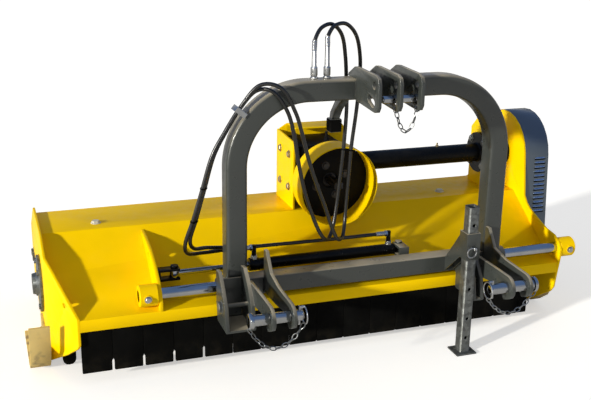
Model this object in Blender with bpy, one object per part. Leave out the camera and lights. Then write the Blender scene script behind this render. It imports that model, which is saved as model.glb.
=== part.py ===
"""Side-shifting flail mower for a tractor's three-point linkage.

Metres, +Z up, +X to the right along the machine, -Y towards the tractor.
The mower deck stands on its rear roller and its skids. The arched headstock
slides along a chromed bar across the front of the deck, pushed by a
hydraulic cylinder. Blender 4.5 script.
"""

import math

import bmesh
import bpy
from mathutils import Matrix, Vector

# Clearances: where pieces touch, round a turning shaft, round a sliding piece
SEAT = 0.0003
RUN = 0.0004
SLIDE = 0.0008

# Deck, measured between the two end plates
DECK_LEFT = -0.880
DECK_WIDTH = 1.831
DECK_RIGHT = DECK_LEFT + DECK_WIDTH
SHEET = 0.006
END_PLATE = 0.008
LIP_BOTTOM = 0.195
LIP_TOP = 0.235
SHELF_DEPTH = 0.100
SHELF_RISE = 0.023
FACE_DEPTH = 0.235
PANEL_Z = 0.420
PANEL_DEPTH = 0.240
HOOD_BREAK = (0.740, 0.345)
HOOD_END = (0.800, 0.255)
END_PLATE_FOOT = 0.020

SHELF_BACK = (SHELF_DEPTH, LIP_TOP + SHELF_RISE)
FACE_TOP = (SHELF_DEPTH + FACE_DEPTH, PANEL_Z)
PANEL_BACK = (FACE_TOP[0] + PANEL_DEPTH, PANEL_Z)

# Bent nose of the left end plate
NOSE_BEND_Y = 0.190
NOSE_INSET = 0.080
NOSE_TOP = 0.240
NOSE_BOTTOM = 0.135
NOSE_SLOPE = NOSE_INSET / NOSE_BEND_Y

# Rubber flaps
FLAP_LEFT = DECK_LEFT + NOSE_INSET
FLAP_PITCH = 0.100
FLAP_COUNT = 16
FLAP_LAST = 0.040
FLAP_SLIT = 0.0015
FLAP_THICK = 0.006
FLAP_ROD_R = 0.004
FLAP_Y = 0.0130
FLAP_BOTTOM = 0.045
CLAMP_THICK = 0.016
FLAP_HINGE_Z = LIP_BOTTOM - FLAP_ROD_R
FLAP_RIGHT = FLAP_LEFT + FLAP_COUNT * FLAP_PITCH + FLAP_LAST

# Rotor
ROTOR_Y = 0.380
ROTOR_Z = 0.225
ROTOR_TUBE_R = 0.070
ROTOR_SHAFT_R = 0.022
ROTOR_END_GAP = 0.030
HAMMER_PIVOT_R = 0.097
HAMMER_LENGTH = 0.072
HAMMER_WIDTH = 0.060
HAMMER_EYE_R = 0.014
HAMMER_PIN_R = 0.007
HAMMERS_PER_ROW = 8
LUG_THICK = 0.010
BEARING_R = 0.100
BEARING_DEPTH = 0.030
BEARING_DEPTH_RIGHT = 0.030
BEARING_FLANGE = 0.010
BEARING_HUB_R = 0.040
BEARING_BOLT = 0.010

# Rear roller and skids
ROLLER_Y = 0.740
ROLLER_R = 0.080
ROLLER_SHAFT_R = 0.015
ROLLER_ARM = 0.010
ROLLER_BOLT = 0.012
SKID_WIDTH = 0.066
SKID_WIDTH_RIGHT = 0.040
SKID_THICK = 0.008
SKID_FRONT = 0.060
SKID_TOP = 0.201
SKID_REAR = 0.450
SKID_BOLT = 0.010

# Bolts through the top panel
PANEL_BOLT = 0.012
PANEL_BOLT_Y = 0.400
PANEL_BOLT_X = (-0.689, 0.655)

# Sliding bar and its ends
BAR_Y = 0.030
BAR_Z = 0.283
BAR_R = 0.020
BOSS_R = 0.0365
BOSS_LENGTH = 0.062
BOSS_SCREW = 0.010
BOSS_SCREW_INSET = 0.026
LEFT_BRACKET_X = -0.541
BRACKET_PLATE = 0.012

# Headstock
HEAD_X = 0.1875
LEG_SPACING = 0.949
ARCH_TUBE = 0.070
ARCH_WALL = 0.005
ARCH_CORNER = 0.012
ARCH_TOP = 0.962
ARCH_BEND = 0.240
ARCH_BEND_STEPS = 8
LEG_FOOT = 0.285
SLEEVE_SIZE = 0.060
BUSH_LENGTH = 0.080
BUSH_WALL = 0.003
BUSH_FLANGE = 0.028
BUSH_FLANGE_R = 0.031
LEFT_LEG_X = HEAD_X - LEG_SPACING / 2
RIGHT_LEG_X = HEAD_X + LEG_SPACING / 2
HEAD_FRONT = BAR_Y - SLEEVE_SIZE / 2
HEAD_BACK = BAR_Y + SLEEVE_SIZE / 2
LEG_FRONT = BAR_Y - ARCH_TUBE / 2
LEG_BACK = BAR_Y + ARCH_TUBE / 2
SLEEVE_LEFT = LEFT_LEG_X - ARCH_TUBE / 2
SLEEVE_RIGHT = RIGHT_LEG_X + ARCH_TUBE / 2
SLEEVE_TOP = BAR_Z + SLEEVE_SIZE / 2
SLEEVE_BOTTOM = BAR_Z - SLEEVE_SIZE / 2

# Lower hitch points, repeated at the linkage spacing
HITCH_SPACING = 0.825
HITCH_GAP = 0.056
HITCH_PLATE = 0.012
HITCH_PIN_Y = -0.275
HITCH_PIN_Z = 0.292
HITCH_PIN_R = 0.018
HITCH_PIN_HEAD_R = 0.026
HITCH_PIN_LENGTH = 0.162
LYNCH_PEG_R = 0.0042
LYNCH_INSET = 0.012
LYNCH_CLEAR = 0.018
LYNCH_RING_R = 0.028
LYNCH_WIRE = 0.005
HITCH_BOX_WIDTH = 0.098
HITCH_BOX_WIDTH_RIGHT = 0.040
HITCH_BOX_FLOOR = 0.195
HITCH_BOLT = 0.016
HITCH_BOLT_Y = -0.082
HITCH_BOLT_Z = 0.262

# Top link bracket
TOP_PLATE_PITCH = 0.0725
TOP_PLATE = 0.012
TOP_PLATE_RISE = 0.040
TOP_FRONT = -0.185
TOP_PIN_Y = -0.128
TOP_PIN_DROP = 0.047
TOP_PIN_Z = ARCH_TOP - TOP_PIN_DROP
TOP_PIN_R = 0.0125
TOP_HOLE_Y = -0.150
TOP_HOLE_RISE = 0.004
TOP_HOLE_Z = ARCH_TOP + TOP_HOLE_RISE

# Parking stand
STAND_X = 0.496
STAND_Y = -0.130
STAND_TUBE = 0.040
STAND_WALL = 0.004
STAND_TOP = 0.537
STAND_FOOT = (0.076, 0.072)
STAND_FOOT_THICK = 0.006
STAND_SLEEVE_WALL = 0.005
STAND_SLEEVE_BOTTOM = 0.352
STAND_SLEEVE_TOP = 0.446
STAND_PIN_Z = 0.395
STAND_PIN_R = 0.006
STAND_HOLES = (0.060, 0.132, 0.242, STAND_PIN_Z, 0.473)

# Side shift cylinder
CYL_Y = 0.112
CYL_Z = 0.317
CYL_BARREL_R = 0.020
CYL_WALL = 0.0035
CYL_ROD_R = 0.010
CYL_LEFT = -0.215
CYL_LENGTH = 0.540
CYL_EYE_R = 0.017
CYL_EYE_HALF = 0.012
CYL_NECK_R = 0.010
CYL_PIN_R = 0.008
CYL_LUG = 0.008
PISTON_LEFT = 0.075
PISTON_LENGTH = 0.028

# Gearbox, drive tube and guard
GEARBOX_X = 0.124
GEARBOX_Y = 0.445
GEARBOX_Z = 0.557
GEARBOX_HALF = (0.094, 0.088, 0.098)
GEARBOX_WALL = 0.010
GEARBOX_NOSE_R = 0.072
OUTLET_LENGTH = 0.030
GEARBOX_NOSE_FRONT = 0.238
BRACKET_THICK = 0.008
BRACKET_TOP = 0.676
COVER_TOP = 0.702
COVER_RIGHT = 0.300
GUARD_R = 0.143
GUARD_WALL = 0.004
GUARD_FRONT = 0.140
GUARD_DEPTH = 0.095
INPUT_SHAFT_R = 0.0175
BEARING_RACE = 0.011
BEVEL_GEAR_R = 0.066
BEVEL_PINION_R = 0.030
MESH_GAP = 0.0008
GEAR_BACK = GEARBOX_Y - BEVEL_PINION_R
GEAR_FACE = GEAR_BACK + 0.014 * BEVEL_PINION_R / BEVEL_GEAR_R
INPUT_SHAFT_FRONT = 0.150
CROSS_SHAFT_R = 0.016
CROSS_TUBE_R = 0.036
CROSS_TUBE_WALL = 0.005
CROSS_FLANGE_R = 0.060
TUBE_FLANGE = 0.012
TUBE_BOLT = 0.010
GEARBOX_BOLT = 0.010
GUARD_PLATE = 0.006
GUARD_BOLT = 0.010
SUPPORT_INSET = 0.103
SUPPORT_X = DECK_RIGHT - SUPPORT_INSET
SUPPORT_WIDTH = 0.150
SUPPORT_FLANGE_R = 0.080

# Belt drive
CASE_WIDTH = 0.103
CASE_WALL = 0.003
CASE_TOP_R = 0.165
CASE_LOW_R = 0.125
UPPER_PULLEY_R = 0.125
LOWER_PULLEY_R = 0.085
PULLEY_WIDTH = 0.058
PULLEY_LEFT = DECK_RIGHT + END_PLATE + 0.036
BELT_COUNT = 3
BELT_PITCH = 0.018
BELT_HALF = 0.0070
BELT_DEPTH = 0.008
BELT_BAND = 0.002
BELT_LIFT = 0.0016
LOUVRE_COUNT = 13
LOUVRE_PITCH = 0.0176
LOUVRE_HEIGHT = 0.0075
LOUVRE_TOP = 0.560

# Hoses
HOSE_D = 0.013
ELBOW_R = 0.0085
SHAFT_HOLDER_OFFSET = -0.108
HOLDER_DROP = 0.0787
HOLDER_PAD = (0.052, 0.090)
HOLDER_PAD_TALL = 0.045
ELBOW_Z = 0.378
ELBOW_REACH = 0.015
CLAMP_ANGLE = 180 - 90 / ARCH_BEND_STEPS * 3.5
CLAMP_SPAN = (-0.007, 0.031)
CLAMP_HEIGHT = 0.041
CLAMP_WALL = 0.003
CLAMP_WIDTH = 0.018

# Colours
YELLOW = (0.88, 0.60, 0.02)
GREY = (0.115, 0.125, 0.115)
DARK = (0.03, 0.03, 0.03)
RUBBER = (0.012, 0.012, 0.012)
STEEL = (0.32, 0.33, 0.34)
CHROME = (0.62, 0.64, 0.68)
GALVANISED = (0.16, 0.165, 0.17)
TAN = (0.42, 0.32, 0.12)
BRONZE = (0.45, 0.30, 0.12)
COVER_GREY = (0.17, 0.19, 0.20)


UNIT_SQUARE = ((-1, -1), (1, -1), (1, 1), (-1, 1))


# Materials and objects

def material(name, colour, roughness, metallic):
    """Principled material, made once for each name."""
    found = bpy.data.materials.get(name)
    if found:
        return found
    made = bpy.data.materials.new(name)
    made.use_nodes = True
    shader = made.node_tree.nodes["Principled BSDF"]
    shader.inputs["Base Color"].default_value = (*colour, 1.0)
    shader.inputs["Roughness"].default_value = roughness
    shader.inputs["Metallic"].default_value = metallic
    return made


def empty(name, at, parent=None):
    """Empty that carries a moving body's pieces and stands on its joint."""
    holder = bpy.data.objects.new(name, None)
    bpy.context.scene.collection.objects.link(holder)
    holder.empty_display_size = 0.05
    holder.parent = parent
    origin = world_of(parent)
    holder.location = Vector(at) - origin
    return holder


def world_of(holder):
    """World position of an unturned empty, from its chain of parents."""
    place = Vector((0, 0, 0))
    while holder:
        place += holder.location
        holder = holder.parent
    return place


def place(name, mesh, finish, holder):
    """Object for one node: its mesh is given in world places."""
    colour, roughness, metallic = finish
    origin = world_of(holder)
    mesh.transform(Matrix.Translation(-origin))
    mesh.name = name
    mesh.shade_smooth()
    mesh.set_sharp_from_angle(angle=math.radians(32))
    mesh.materials.clear()
    mesh.materials.append(material(name + "_finish", colour, roughness, metallic))
    obj = bpy.data.objects.new(name, mesh)
    bpy.context.scene.collection.objects.link(obj)
    obj.parent = holder
    return obj


# Shapes

def along(axis, u, v, w):
    """Point with w along the axis and u, v across it, in X, Y, Z order."""
    return {"X": (w, u, v), "Y": (u, w, v), "Z": (u, v, w)}[axis]


def solid(points, faces):
    """Closed mesh with its faces turned outwards."""
    mesh = bpy.data.meshes.new("shape")
    mesh.from_pydata([tuple(p) for p in points], [], faces)
    bm = bmesh.new()
    bm.from_mesh(mesh)
    bmesh.ops.recalc_face_normals(bm, faces=bm.faces)
    bm.to_mesh(mesh)
    bm.free()
    return mesh


def prism(axis, outline, low, high, holes=()):
    """Flat plate: an outline with holes, carried along the axis."""
    loops = [list(outline)] + [list(hole) for hole in holes]
    bm = bmesh.new()
    edges = []
    for loop in loops:
        ring = [bm.verts.new(along(axis, u, v, low)) for u, v in loop]
        edges += [bm.edges.new((ring[i - 1], ring[i])) for i in range(len(ring))]
    bm.verts.index_update()
    bmesh.ops.triangle_fill(bm, use_beauty=True, use_dissolve=False, edges=edges)
    caps = [[vert.index for vert in face.verts] for face in bm.faces]
    points = [vert.co.copy() for vert in bm.verts]
    bm.free()
    count = len(points)
    rise = Vector(along(axis, 0, 0, high - low))
    faces = caps + [[i + count for i in reversed(cap)] for cap in caps]
    start = 0
    for loop in loops:
        size = len(loop)
        for i in range(size):
            a = start + i
            b = start + (i + 1) % size
            faces.append((a, b, b + count, a + count))
        start += size
    return solid(points + [p + rise for p in points], faces)


def block(x, y, z):
    """Box between two corners, each pair given as (low, high)."""
    corners = [(x[0], y[0]), (x[1], y[0]), (x[1], y[1]), (x[0], y[1])]
    return prism("Z", corners, z[0], z[1])


def circle(u, v, radius, sides, turn=0.0):
    """Points of a regular polygon, counted anticlockwise."""
    step = 2 * math.pi / sides
    return [(u + radius * math.cos(turn + i * step), v + radius * math.sin(turn + i * step))
            for i in range(sides)]


def arc(u, v, radius, first, last, steps):
    """Points on an arc, ends included, with its angles in degrees."""
    angles = [math.radians(first + (last - first) * i / steps) for i in range(steps + 1)]
    return [(u + radius * math.cos(a), v + radius * math.sin(a)) for a in angles]


def slotted(first, last, radius):
    """Outline of a long hole with round ends about two points."""
    lean = math.degrees(math.atan2(last[1] - first[1], last[0] - first[0]))
    return (arc(*first, radius, lean + 90, lean + 270, 6)
            + arc(*last, radius, lean - 90, lean + 90, 6))


def turned(axis, centre, profile, sides=24, turn=0.0):
    """Turned shape. The profile's points are (along, radius); a profile
    that starts at radius 0 ends there too, and any other one is a ring."""
    points = []
    rows = []
    for w, radius in profile:
        if radius == 0:
            rows.append([len(points)] * sides)
            points.append(along(axis, centre[0], centre[1], w))
        else:
            rows.append(list(range(len(points), len(points) + sides)))
            points += [along(axis, u, v, w) for u, v in circle(*centre, radius, sides, turn)]
    pairs = list(zip(rows, rows[1:]))
    if profile[0][1] > 0:
        pairs.append((rows[-1], rows[0]))
    faces = []
    for low, high in pairs:
        for i in range(sides):
            j = (i + 1) % sides
            corners = [low[i], low[j], high[j], high[i]]
            face = [c for k, c in enumerate(corners) if c not in corners[:k]]
            if len(face) > 2:
                faces.append(face)
    return solid(points, faces)


def rod(axis, centre, low, high, radius, sides=16, turn=0.0):
    """Plain round bar."""
    return turned(axis, centre, [(low, 0), (low, radius), (high, radius), (high, 0)], sides, turn)


def pipe(axis, centre, low, high, radius, bore, sides=16, turn=0.0):
    """Round tube, open at both ends."""
    return turned(axis, centre, [(low, radius), (high, radius), (high, bore), (low, bore)],
                  sides, turn)


def running_bore(radius, sides):
    """Corner radius of a faceted bore that a turning shaft clears."""
    return (radius + RUN) / math.cos(math.pi / sides)


def bolt_head(axis, centre, face, size, towards=1):
    """Hexagon head that stands on a face and is rooted 1 mm in it."""
    low, high = sorted((face - towards * 0.001, face + towards * 0.65 * size))
    return rod(axis, centre, low, high, size, 6)


def heads(axis, centres, face, size, towards=1):
    """Several bolt heads on one face."""
    return [bolt_head(axis, centre, face, size, towards) for centre in centres]


def boolean(mesh, other, operation):
    """Boolean of two meshes, worked out by Blender's own modifier."""
    base = bpy.data.objects.new("base", mesh)
    tool = bpy.data.objects.new("tool", other)
    for obj in (base, tool):
        bpy.context.scene.collection.objects.link(obj)
    step = base.modifiers.new("cut", "BOOLEAN")
    step.object = tool
    step.operation = operation
    step.solver = "EXACT"
    graph = bpy.context.evaluated_depsgraph_get()
    result = bpy.data.meshes.new_from_object(base.evaluated_get(graph))
    for obj in (base, tool):
        bpy.data.objects.remove(obj)
    return result


def fused(first, *others):
    """Union of overlapping shapes, as one solid."""
    for other in others:
        first = boolean(first, other, "UNION")
    return first


def cut(mesh, *cutters):
    """Shape with each cutter taken out of it."""
    for cutter in cutters:
        mesh = boolean(mesh, cutter, "DIFFERENCE")
    return mesh


def strip(points, thickness):
    """Outline of a bent sheet: the points give its outer side, and the
    thickness lies to the right of the way they run."""
    inner = []
    last = len(points) - 1
    for i, (u, v) in enumerate(points):
        ways = []
        for a, b in ((i - 1, i), (i, i + 1)):
            if a >= 0 and b <= last:
                way = Vector(points[b]) - Vector(points[a])
                ways.append(way.normalized())
        mean = sum(ways, Vector((0, 0))).normalized()
        depth = thickness / max(0.3, mean.dot(ways[0]))
        inner.append((u + mean.y * depth, v - mean.x * depth))
    return list(points) + inner[::-1]


def sweep(path, section, side):
    """Section carried along a flat path. side is the direction square to
    the path's plane; the section's points are (across, along side)."""
    side = Vector(side)
    points = []
    size = len(section)
    for i, here in enumerate(path):
        before = path[max(0, i - 1)]
        after = path[min(len(path) - 1, i + 1)]
        way = (Vector(after) - Vector(before)).normalized()
        across = side.cross(way)
        points += [Vector(here) + across * a + side * b for a, b in section]
    faces = [list(range(size)), list(range(len(points) - size, len(points)))]
    for i in range(len(path) - 1):
        for k in range(size):
            a = i * size + k
            b = i * size + (k + 1) % size
            faces.append((a, b, b + size, a + size))
    return solid(points, faces)


def rounded_square(width, radius, steps=2):
    """Square section with rounded corners, about its centre."""
    flat = width / 2 - radius
    points = []
    for k, (u, v) in enumerate(((1, 1), (-1, 1), (-1, -1), (1, -1))):
        points += arc(u * flat, v * flat, radius, 90 * k, 90 * k + 90, steps)
    return points


def belt_outline(low, low_r, high, high_r, steps):
    """Outline that runs round two circles, one above the other."""
    way = Vector(high) - Vector(low)
    lean = math.degrees(math.atan2(way.y, way.x))
    open_angle = math.degrees(math.acos((low_r - high_r) / way.length))
    upper = arc(*high, high_r, lean - open_angle, lean + open_angle, steps)
    lower = arc(*low, low_r, lean + open_angle, lean + 360 - open_angle, steps)
    return upper + lower


def smooth_route(points, spacing):
    """Evenly spaced points on a smooth curve through the route's points."""
    knots = [Vector(p) for p in points]
    knots = [knots[0] * 2 - knots[1]] + knots + [knots[-1] * 2 - knots[-2]]
    fine = []
    for i in range(1, len(knots) - 2):
        a, b, c, d = knots[i - 1:i + 3]
        for k in range(12):
            t = k / 12
            fine.append(0.5 * ((2 * b) + (c - a) * t + (2 * a - 5 * b + 4 * c - d) * t ** 2
                               + (3 * b - a - 3 * c + d) * t ** 3))
    fine.append(knots[-2])
    lengths = [0.0]
    for a, b in zip(fine, fine[1:]):
        lengths.append(lengths[-1] + (b - a).length)
    count = max(4, round(lengths[-1] / spacing))
    even = []
    k = 0
    for i in range(count + 1):
        want = lengths[-1] * i / count
        while k < len(fine) - 2 and lengths[k + 1] < want:
            k += 1
        share = (want - lengths[k]) / (lengths[k + 1] - lengths[k])
        even.append(fine[k].lerp(fine[k + 1], min(1.0, share)))
    return even


# Deck

def deck_surface(y):
    """Height of the deck's outer surface in front of the top panel."""
    if y <= SHELF_BACK[0]:
        return LIP_TOP + SHELF_RISE * y / SHELF_DEPTH
    return SHELF_BACK[1] + (PANEL_Z - SHELF_BACK[1]) * (y - SHELF_BACK[0]) / FACE_DEPTH


def deck_hood(deck):
    """Bent sheet that covers the rotor, from the front lip to the rear."""
    course = [(0.0, LIP_BOTTOM), (0.0, LIP_TOP), SHELF_BACK, FACE_TOP, PANEL_BACK,
              HOOD_BREAK, HOOD_END]
    sheet = prism("X", strip(course, SHEET), DECK_LEFT + SEAT, DECK_RIGHT - SEAT)
    reach = 0.05
    slack = SEAT * 2
    corner = [(DECK_LEFT - reach, -reach),
              (FLAP_LEFT + slack + NOSE_SLOPE * reach, -reach),
              (DECK_LEFT + slack, NOSE_BEND_Y), (DECK_LEFT - reach, NOSE_BEND_Y)]
    sheet = cut(sheet, prism("Z", corner, 0.0, PANEL_Z + reach))
    sheet = fused(sheet, *heads("Z", [(x, PANEL_BOLT_Y) for x in PANEL_BOLT_X], PANEL_Z, PANEL_BOLT))
    place("deck_hood", sheet, (YELLOW, 0.35, 0.0), deck)


def bearing_hole():
    """Opening in an end plate that the rotor's shaft end passes through."""
    return circle(ROTOR_Y, ROTOR_Z, ROTOR_SHAFT_R + 0.012, 16)


def bearing_bolts():
    """Places of a rotor bearing's four bolts."""
    return circle(ROTOR_Y, ROTOR_Z, BEARING_R - 0.013, 4, math.radians(45))


def left_end_plate(deck):
    """Left end plate, with its front bent inwards to meet the flaps."""
    rear = [(HOOD_END[0] + 0.02, 0.300), (0.600, PANEL_Z + 0.012), (0.300, PANEL_Z + 0.012)]
    flat = [(NOSE_BEND_Y, END_PLATE_FOOT), (0.640, END_PLATE_FOOT), (HOOD_END[0] + 0.02, 0.100)]
    flat += rear + [(NOSE_BEND_Y, 0.388)]
    outer = DECK_LEFT - END_PLATE
    plate = prism("X", flat, outer, DECK_LEFT, [bearing_hole()])
    arm = roller_arm(DECK_LEFT - 0.001, DECK_LEFT + ROLLER_ARM)
    nose = [(0.0, NOSE_BOTTOM + 0.015), (0.010, NOSE_BOTTOM), (0.080, 0.085),
            (NOSE_BEND_Y, END_PLATE_FOOT), (NOSE_BEND_Y, 0.388), (0.0, NOSE_TOP)]
    front = prism("X", nose, outer, DECK_LEFT, [circle(0.075, 0.262, 0.009, 8)])
    for vert in front.vertices:
        vert.co.x += (NOSE_BEND_Y - vert.co.y) * NOSE_SLOPE
    bolts = heads("X", roller_bolts(), outer, ROLLER_BOLT, -1)
    place("left_end_plate", fused(plate, front, arm, *bolts), (YELLOW, 0.35, 0.0), deck)


def right_end_plate(deck):
    """Right end plate: it carries the bar, and its tall part is the back of
    the belt case."""
    outline = [(0.160, END_PLATE_FOOT), (0.640, END_PLATE_FOOT), (HOOD_END[0] + 0.02, 0.100),
               (HOOD_END[0] + 0.02, 0.300), (0.630, PANEL_Z + 0.012)]
    outline += arc(GEARBOX_Y, GEARBOX_Z, CASE_TOP_R, 2, 171, 12)
    outline += [(0.258, 0.420), (0.240, 0.397), (0.214, 0.379), (0.140, 0.352),
                (0.095, 0.338), (0.040, 0.330), (0.006, 0.312), (-0.009, 0.290),
                (-0.008, 0.255), (0.004, 0.185), (0.012, 0.130), (0.030, 0.106)]
    holes = [bearing_hole(), circle(BAR_Y, BAR_Z, BAR_R + SEAT, 24),
             circle(GEARBOX_Y, GEARBOX_Z, CROSS_SHAFT_R + 0.008, 12)]
    plate = prism("X", outline, DECK_RIGHT, DECK_RIGHT + END_PLATE, holes)
    arm = roller_arm(DECK_RIGHT - ROLLER_ARM, DECK_RIGHT + 0.001)
    bolts = heads("X", roller_bolts(), DECK_RIGHT + END_PLATE, ROLLER_BOLT)
    place("right_end_plate", fused(plate, arm, *bolts), (YELLOW, 0.35, 0.0), deck)


def roller_bolts():
    """Places of the bolts that hold a roller arm."""
    return [(ROLLER_Y - 0.030, 0.200), (ROLLER_Y + 0.030, 0.200)]


def skid_bolts():
    """Places of the bolts that hold a skid."""
    return [(0.250, 0.055), (SKID_REAR - 0.080, 0.055)]


def skids(deck):
    """Sole plates outside the end plates, turned up at the front."""
    course = [(SKID_FRONT, SKID_TOP), (SKID_FRONT + 0.012, 0.110), (0.105, 0.055),
              (0.155, 0.018), (0.210, 0.0), (SKID_REAR - 0.040, 0.0), (SKID_REAR, 0.014)]
    sole = strip(course[::-1], SKID_THICK)
    web = [(0.100, 0.078), (0.160, 0.030), (0.212, SKID_THICK - 0.001),
           (SKID_REAR - 0.042, SKID_THICK - 0.001), (SKID_REAR - 0.010, 0.030), (SKID_REAR - 0.010, 0.085)]
    for side, inner, width in (("left", DECK_LEFT - END_PLATE - SEAT, SKID_WIDTH),
                               ("right", DECK_RIGHT + END_PLATE + SEAT, SKID_WIDTH_RIGHT)):
        way = -1 if side == "left" else 1
        low, high = sorted((inner, inner + way * width))
        web_low, web_high = sorted((inner, inner + way * SKID_THICK))
        bolts = heads("X", skid_bolts(), inner + way * SKID_THICK, SKID_BOLT, way)
        mesh = fused(prism("X", sole, low, high), prism("X", web, web_low, web_high), *bolts)
        place(side + "_skid", mesh, (TAN, 0.6, 0.0), deck)


def flap_clamp(deck):
    """Flat bar behind the lip that holds the flaps' upper edge."""
    bar = block((FLAP_LEFT + 0.002, DECK_RIGHT - 0.002), (SHEET + SEAT, SHEET + SEAT + CLAMP_THICK),
                (LIP_BOTTOM + SEAT, LIP_TOP - 0.010))
    place("flap_clamp_bar", bar, (DARK, 0.6, 0.0), deck)


def rubber_flaps(holder):
    """Row of rubber flaps that hang on one rod behind the lip."""
    row = rod("X", (FLAP_Y, FLAP_HINGE_Z), FLAP_LEFT + 0.001, FLAP_RIGHT - 0.001, FLAP_ROD_R, 6)
    for i in range(FLAP_COUNT + 1):
        left = FLAP_LEFT + i * FLAP_PITCH
        width = FLAP_PITCH if i < FLAP_COUNT else FLAP_LAST
        flap = block((left + FLAP_SLIT / 2, left + width - FLAP_SLIT / 2),
                     (FLAP_Y - FLAP_THICK / 2, FLAP_Y + FLAP_THICK / 2), (FLAP_BOTTOM, FLAP_HINGE_Z))
        row = fused(row, flap)
    place("rubber_flaps", row, (RUBBER, 0.75, 0.0), holder)


# Rotor

def rotor_bearings(deck):
    """Flanged bearing housings on the outside of the end plates."""
    bore = running_bore(ROTOR_SHAFT_R, 24)
    for side, face, way, depth in (("left", DECK_LEFT - END_PLATE, -1, BEARING_DEPTH),
                                   ("right", DECK_RIGHT + END_PLATE, 1, BEARING_DEPTH_RIGHT)):
        near = face + way * SEAT
        flange = near + way * BEARING_FLANGE
        far = near + way * depth
        ring = turned("X", (ROTOR_Y, ROTOR_Z), [(near, BEARING_R), (flange, BEARING_R),
                      (flange, BEARING_HUB_R), (far, BEARING_HUB_R - 0.004), (far, bore),
                      (near, bore)], 24)
        bolts = heads("X", bearing_bolts(), flange, BEARING_BOLT, way)
        place(side + "_rotor_bearing", fused(ring, *bolts), (GREY, 0.5, 0.3), deck)


def hammer_places(row):
    """Middles of one row's hammers along the rotor."""
    span = DECK_WIDTH - 2 * ROTOR_END_GAP - 0.12
    pitch = span / (2 * HAMMERS_PER_ROW - 1)
    first = DECK_LEFT + ROTOR_END_GAP + 0.06
    return [first + pitch * (2 * i + row) for i in range(HAMMERS_PER_ROW)]


def rotor(holder):
    """Rotor tube with its shaft ends and the lugs that carry the hammers."""
    left = DECK_LEFT + ROTOR_END_GAP
    right = DECK_RIGHT - ROTOR_END_GAP
    shaft_left = DECK_LEFT - END_PLATE - BEARING_DEPTH + 0.004
    shaft_right = PULLEY_LEFT + PULLEY_WIDTH - 0.004
    body = turned("X", (ROTOR_Y, ROTOR_Z), [
        (shaft_left, 0), (shaft_left, ROTOR_SHAFT_R), (left, ROTOR_SHAFT_R), (left, ROTOR_TUBE_R),
        (right, ROTOR_TUBE_R), (right, ROTOR_SHAFT_R), (shaft_right, ROTOR_SHAFT_R),
        (shaft_right, 0)], 16)
    half = HAMMER_WIDTH / 2 + SLIDE
    tip = HAMMER_PIVOT_R + HAMMER_EYE_R
    for row, way in ((0, -1), (1, 1)):
        root = ROTOR_Y + way * (ROTOR_TUBE_R - 0.012)
        end = ROTOR_Y + way * tip
        edge = [(root, ROTOR_Z - 0.026), (end, ROTOR_Z - 0.012), (end, ROTOR_Z + 0.012),
                (root, ROTOR_Z + 0.026)]
        hole = circle(ROTOR_Y + way * HAMMER_PIVOT_R, ROTOR_Z, running_bore(HAMMER_PIN_R, 6), 6)
        for x in hammer_places(row):
            for side in (-1, 1):
                low, high = sorted((x + side * half, x + side * (half + LUG_THICK)))
                body = fused(body, prism("X", edge, low, high, [hole]))
    place("rotor_tube", body, (DARK, 0.55, 0.4), holder)


def hammers(holder, row, name):
    """One row of hammers on the rod that they hang from."""
    way = -1 if row == 0 else 1
    pivot_y = ROTOR_Y + way * HAMMER_PIVOT_R
    foot = ROTOR_Z - HAMMER_LENGTH
    eye = arc(pivot_y, ROTOR_Z, HAMMER_EYE_R, 0, 180, 4)
    edge = eye + [(pivot_y - 0.013, ROTOR_Z - 0.035), (pivot_y - 0.017, foot),
                  (pivot_y + 0.017, foot), (pivot_y + 0.013, ROTOR_Z - 0.035)]
    half = HAMMER_WIDTH / 2
    spots = hammer_places(row)
    reach = half + SLIDE + LUG_THICK + 0.006
    mesh = rod("X", (pivot_y, ROTOR_Z), spots[0] - reach, spots[-1] + reach, HAMMER_PIN_R, 6)
    for x in spots:
        mesh = fused(mesh, prism("X", edge, x - half, x + half))
    place(name, mesh, (GREY, 0.6, 0.5), holder)


# Rear roller

def roller_arm(low, high):
    """Arm on the inside of an end plate that carries the roller's shaft."""
    bore = circle(ROLLER_Y, ROLLER_R, running_bore(ROLLER_SHAFT_R, 16), 16)
    outline = arc(ROLLER_Y, ROLLER_R, 0.034, 180, 360, 8)
    outline += [(ROLLER_Y + 0.048, 0.170), (ROLLER_Y + 0.048, 0.225),
                (ROLLER_Y - 0.048, 0.225), (ROLLER_Y - 0.048, 0.170)]
    return prism("X", outline, low, high, [bore])


def roller(holder):
    """Rear roller with its shaft ends."""
    left = DECK_LEFT + ROLLER_ARM + 0.006
    right = DECK_RIGHT - ROLLER_ARM - 0.006
    mesh = turned("X", (ROLLER_Y, ROLLER_R), [
        (DECK_LEFT + 2 * SEAT, 0), (DECK_LEFT + 2 * SEAT, ROLLER_SHAFT_R), (left, ROLLER_SHAFT_R),
        (left, ROLLER_R), (right, ROLLER_R), (right, ROLLER_SHAFT_R),
        (DECK_RIGHT - 2 * SEAT, ROLLER_SHAFT_R), (DECK_RIGHT - 2 * SEAT, 0)], 32)
    place("rear_roller", mesh, (DARK, 0.5, 0.4), holder)


# Sliding bar

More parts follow.
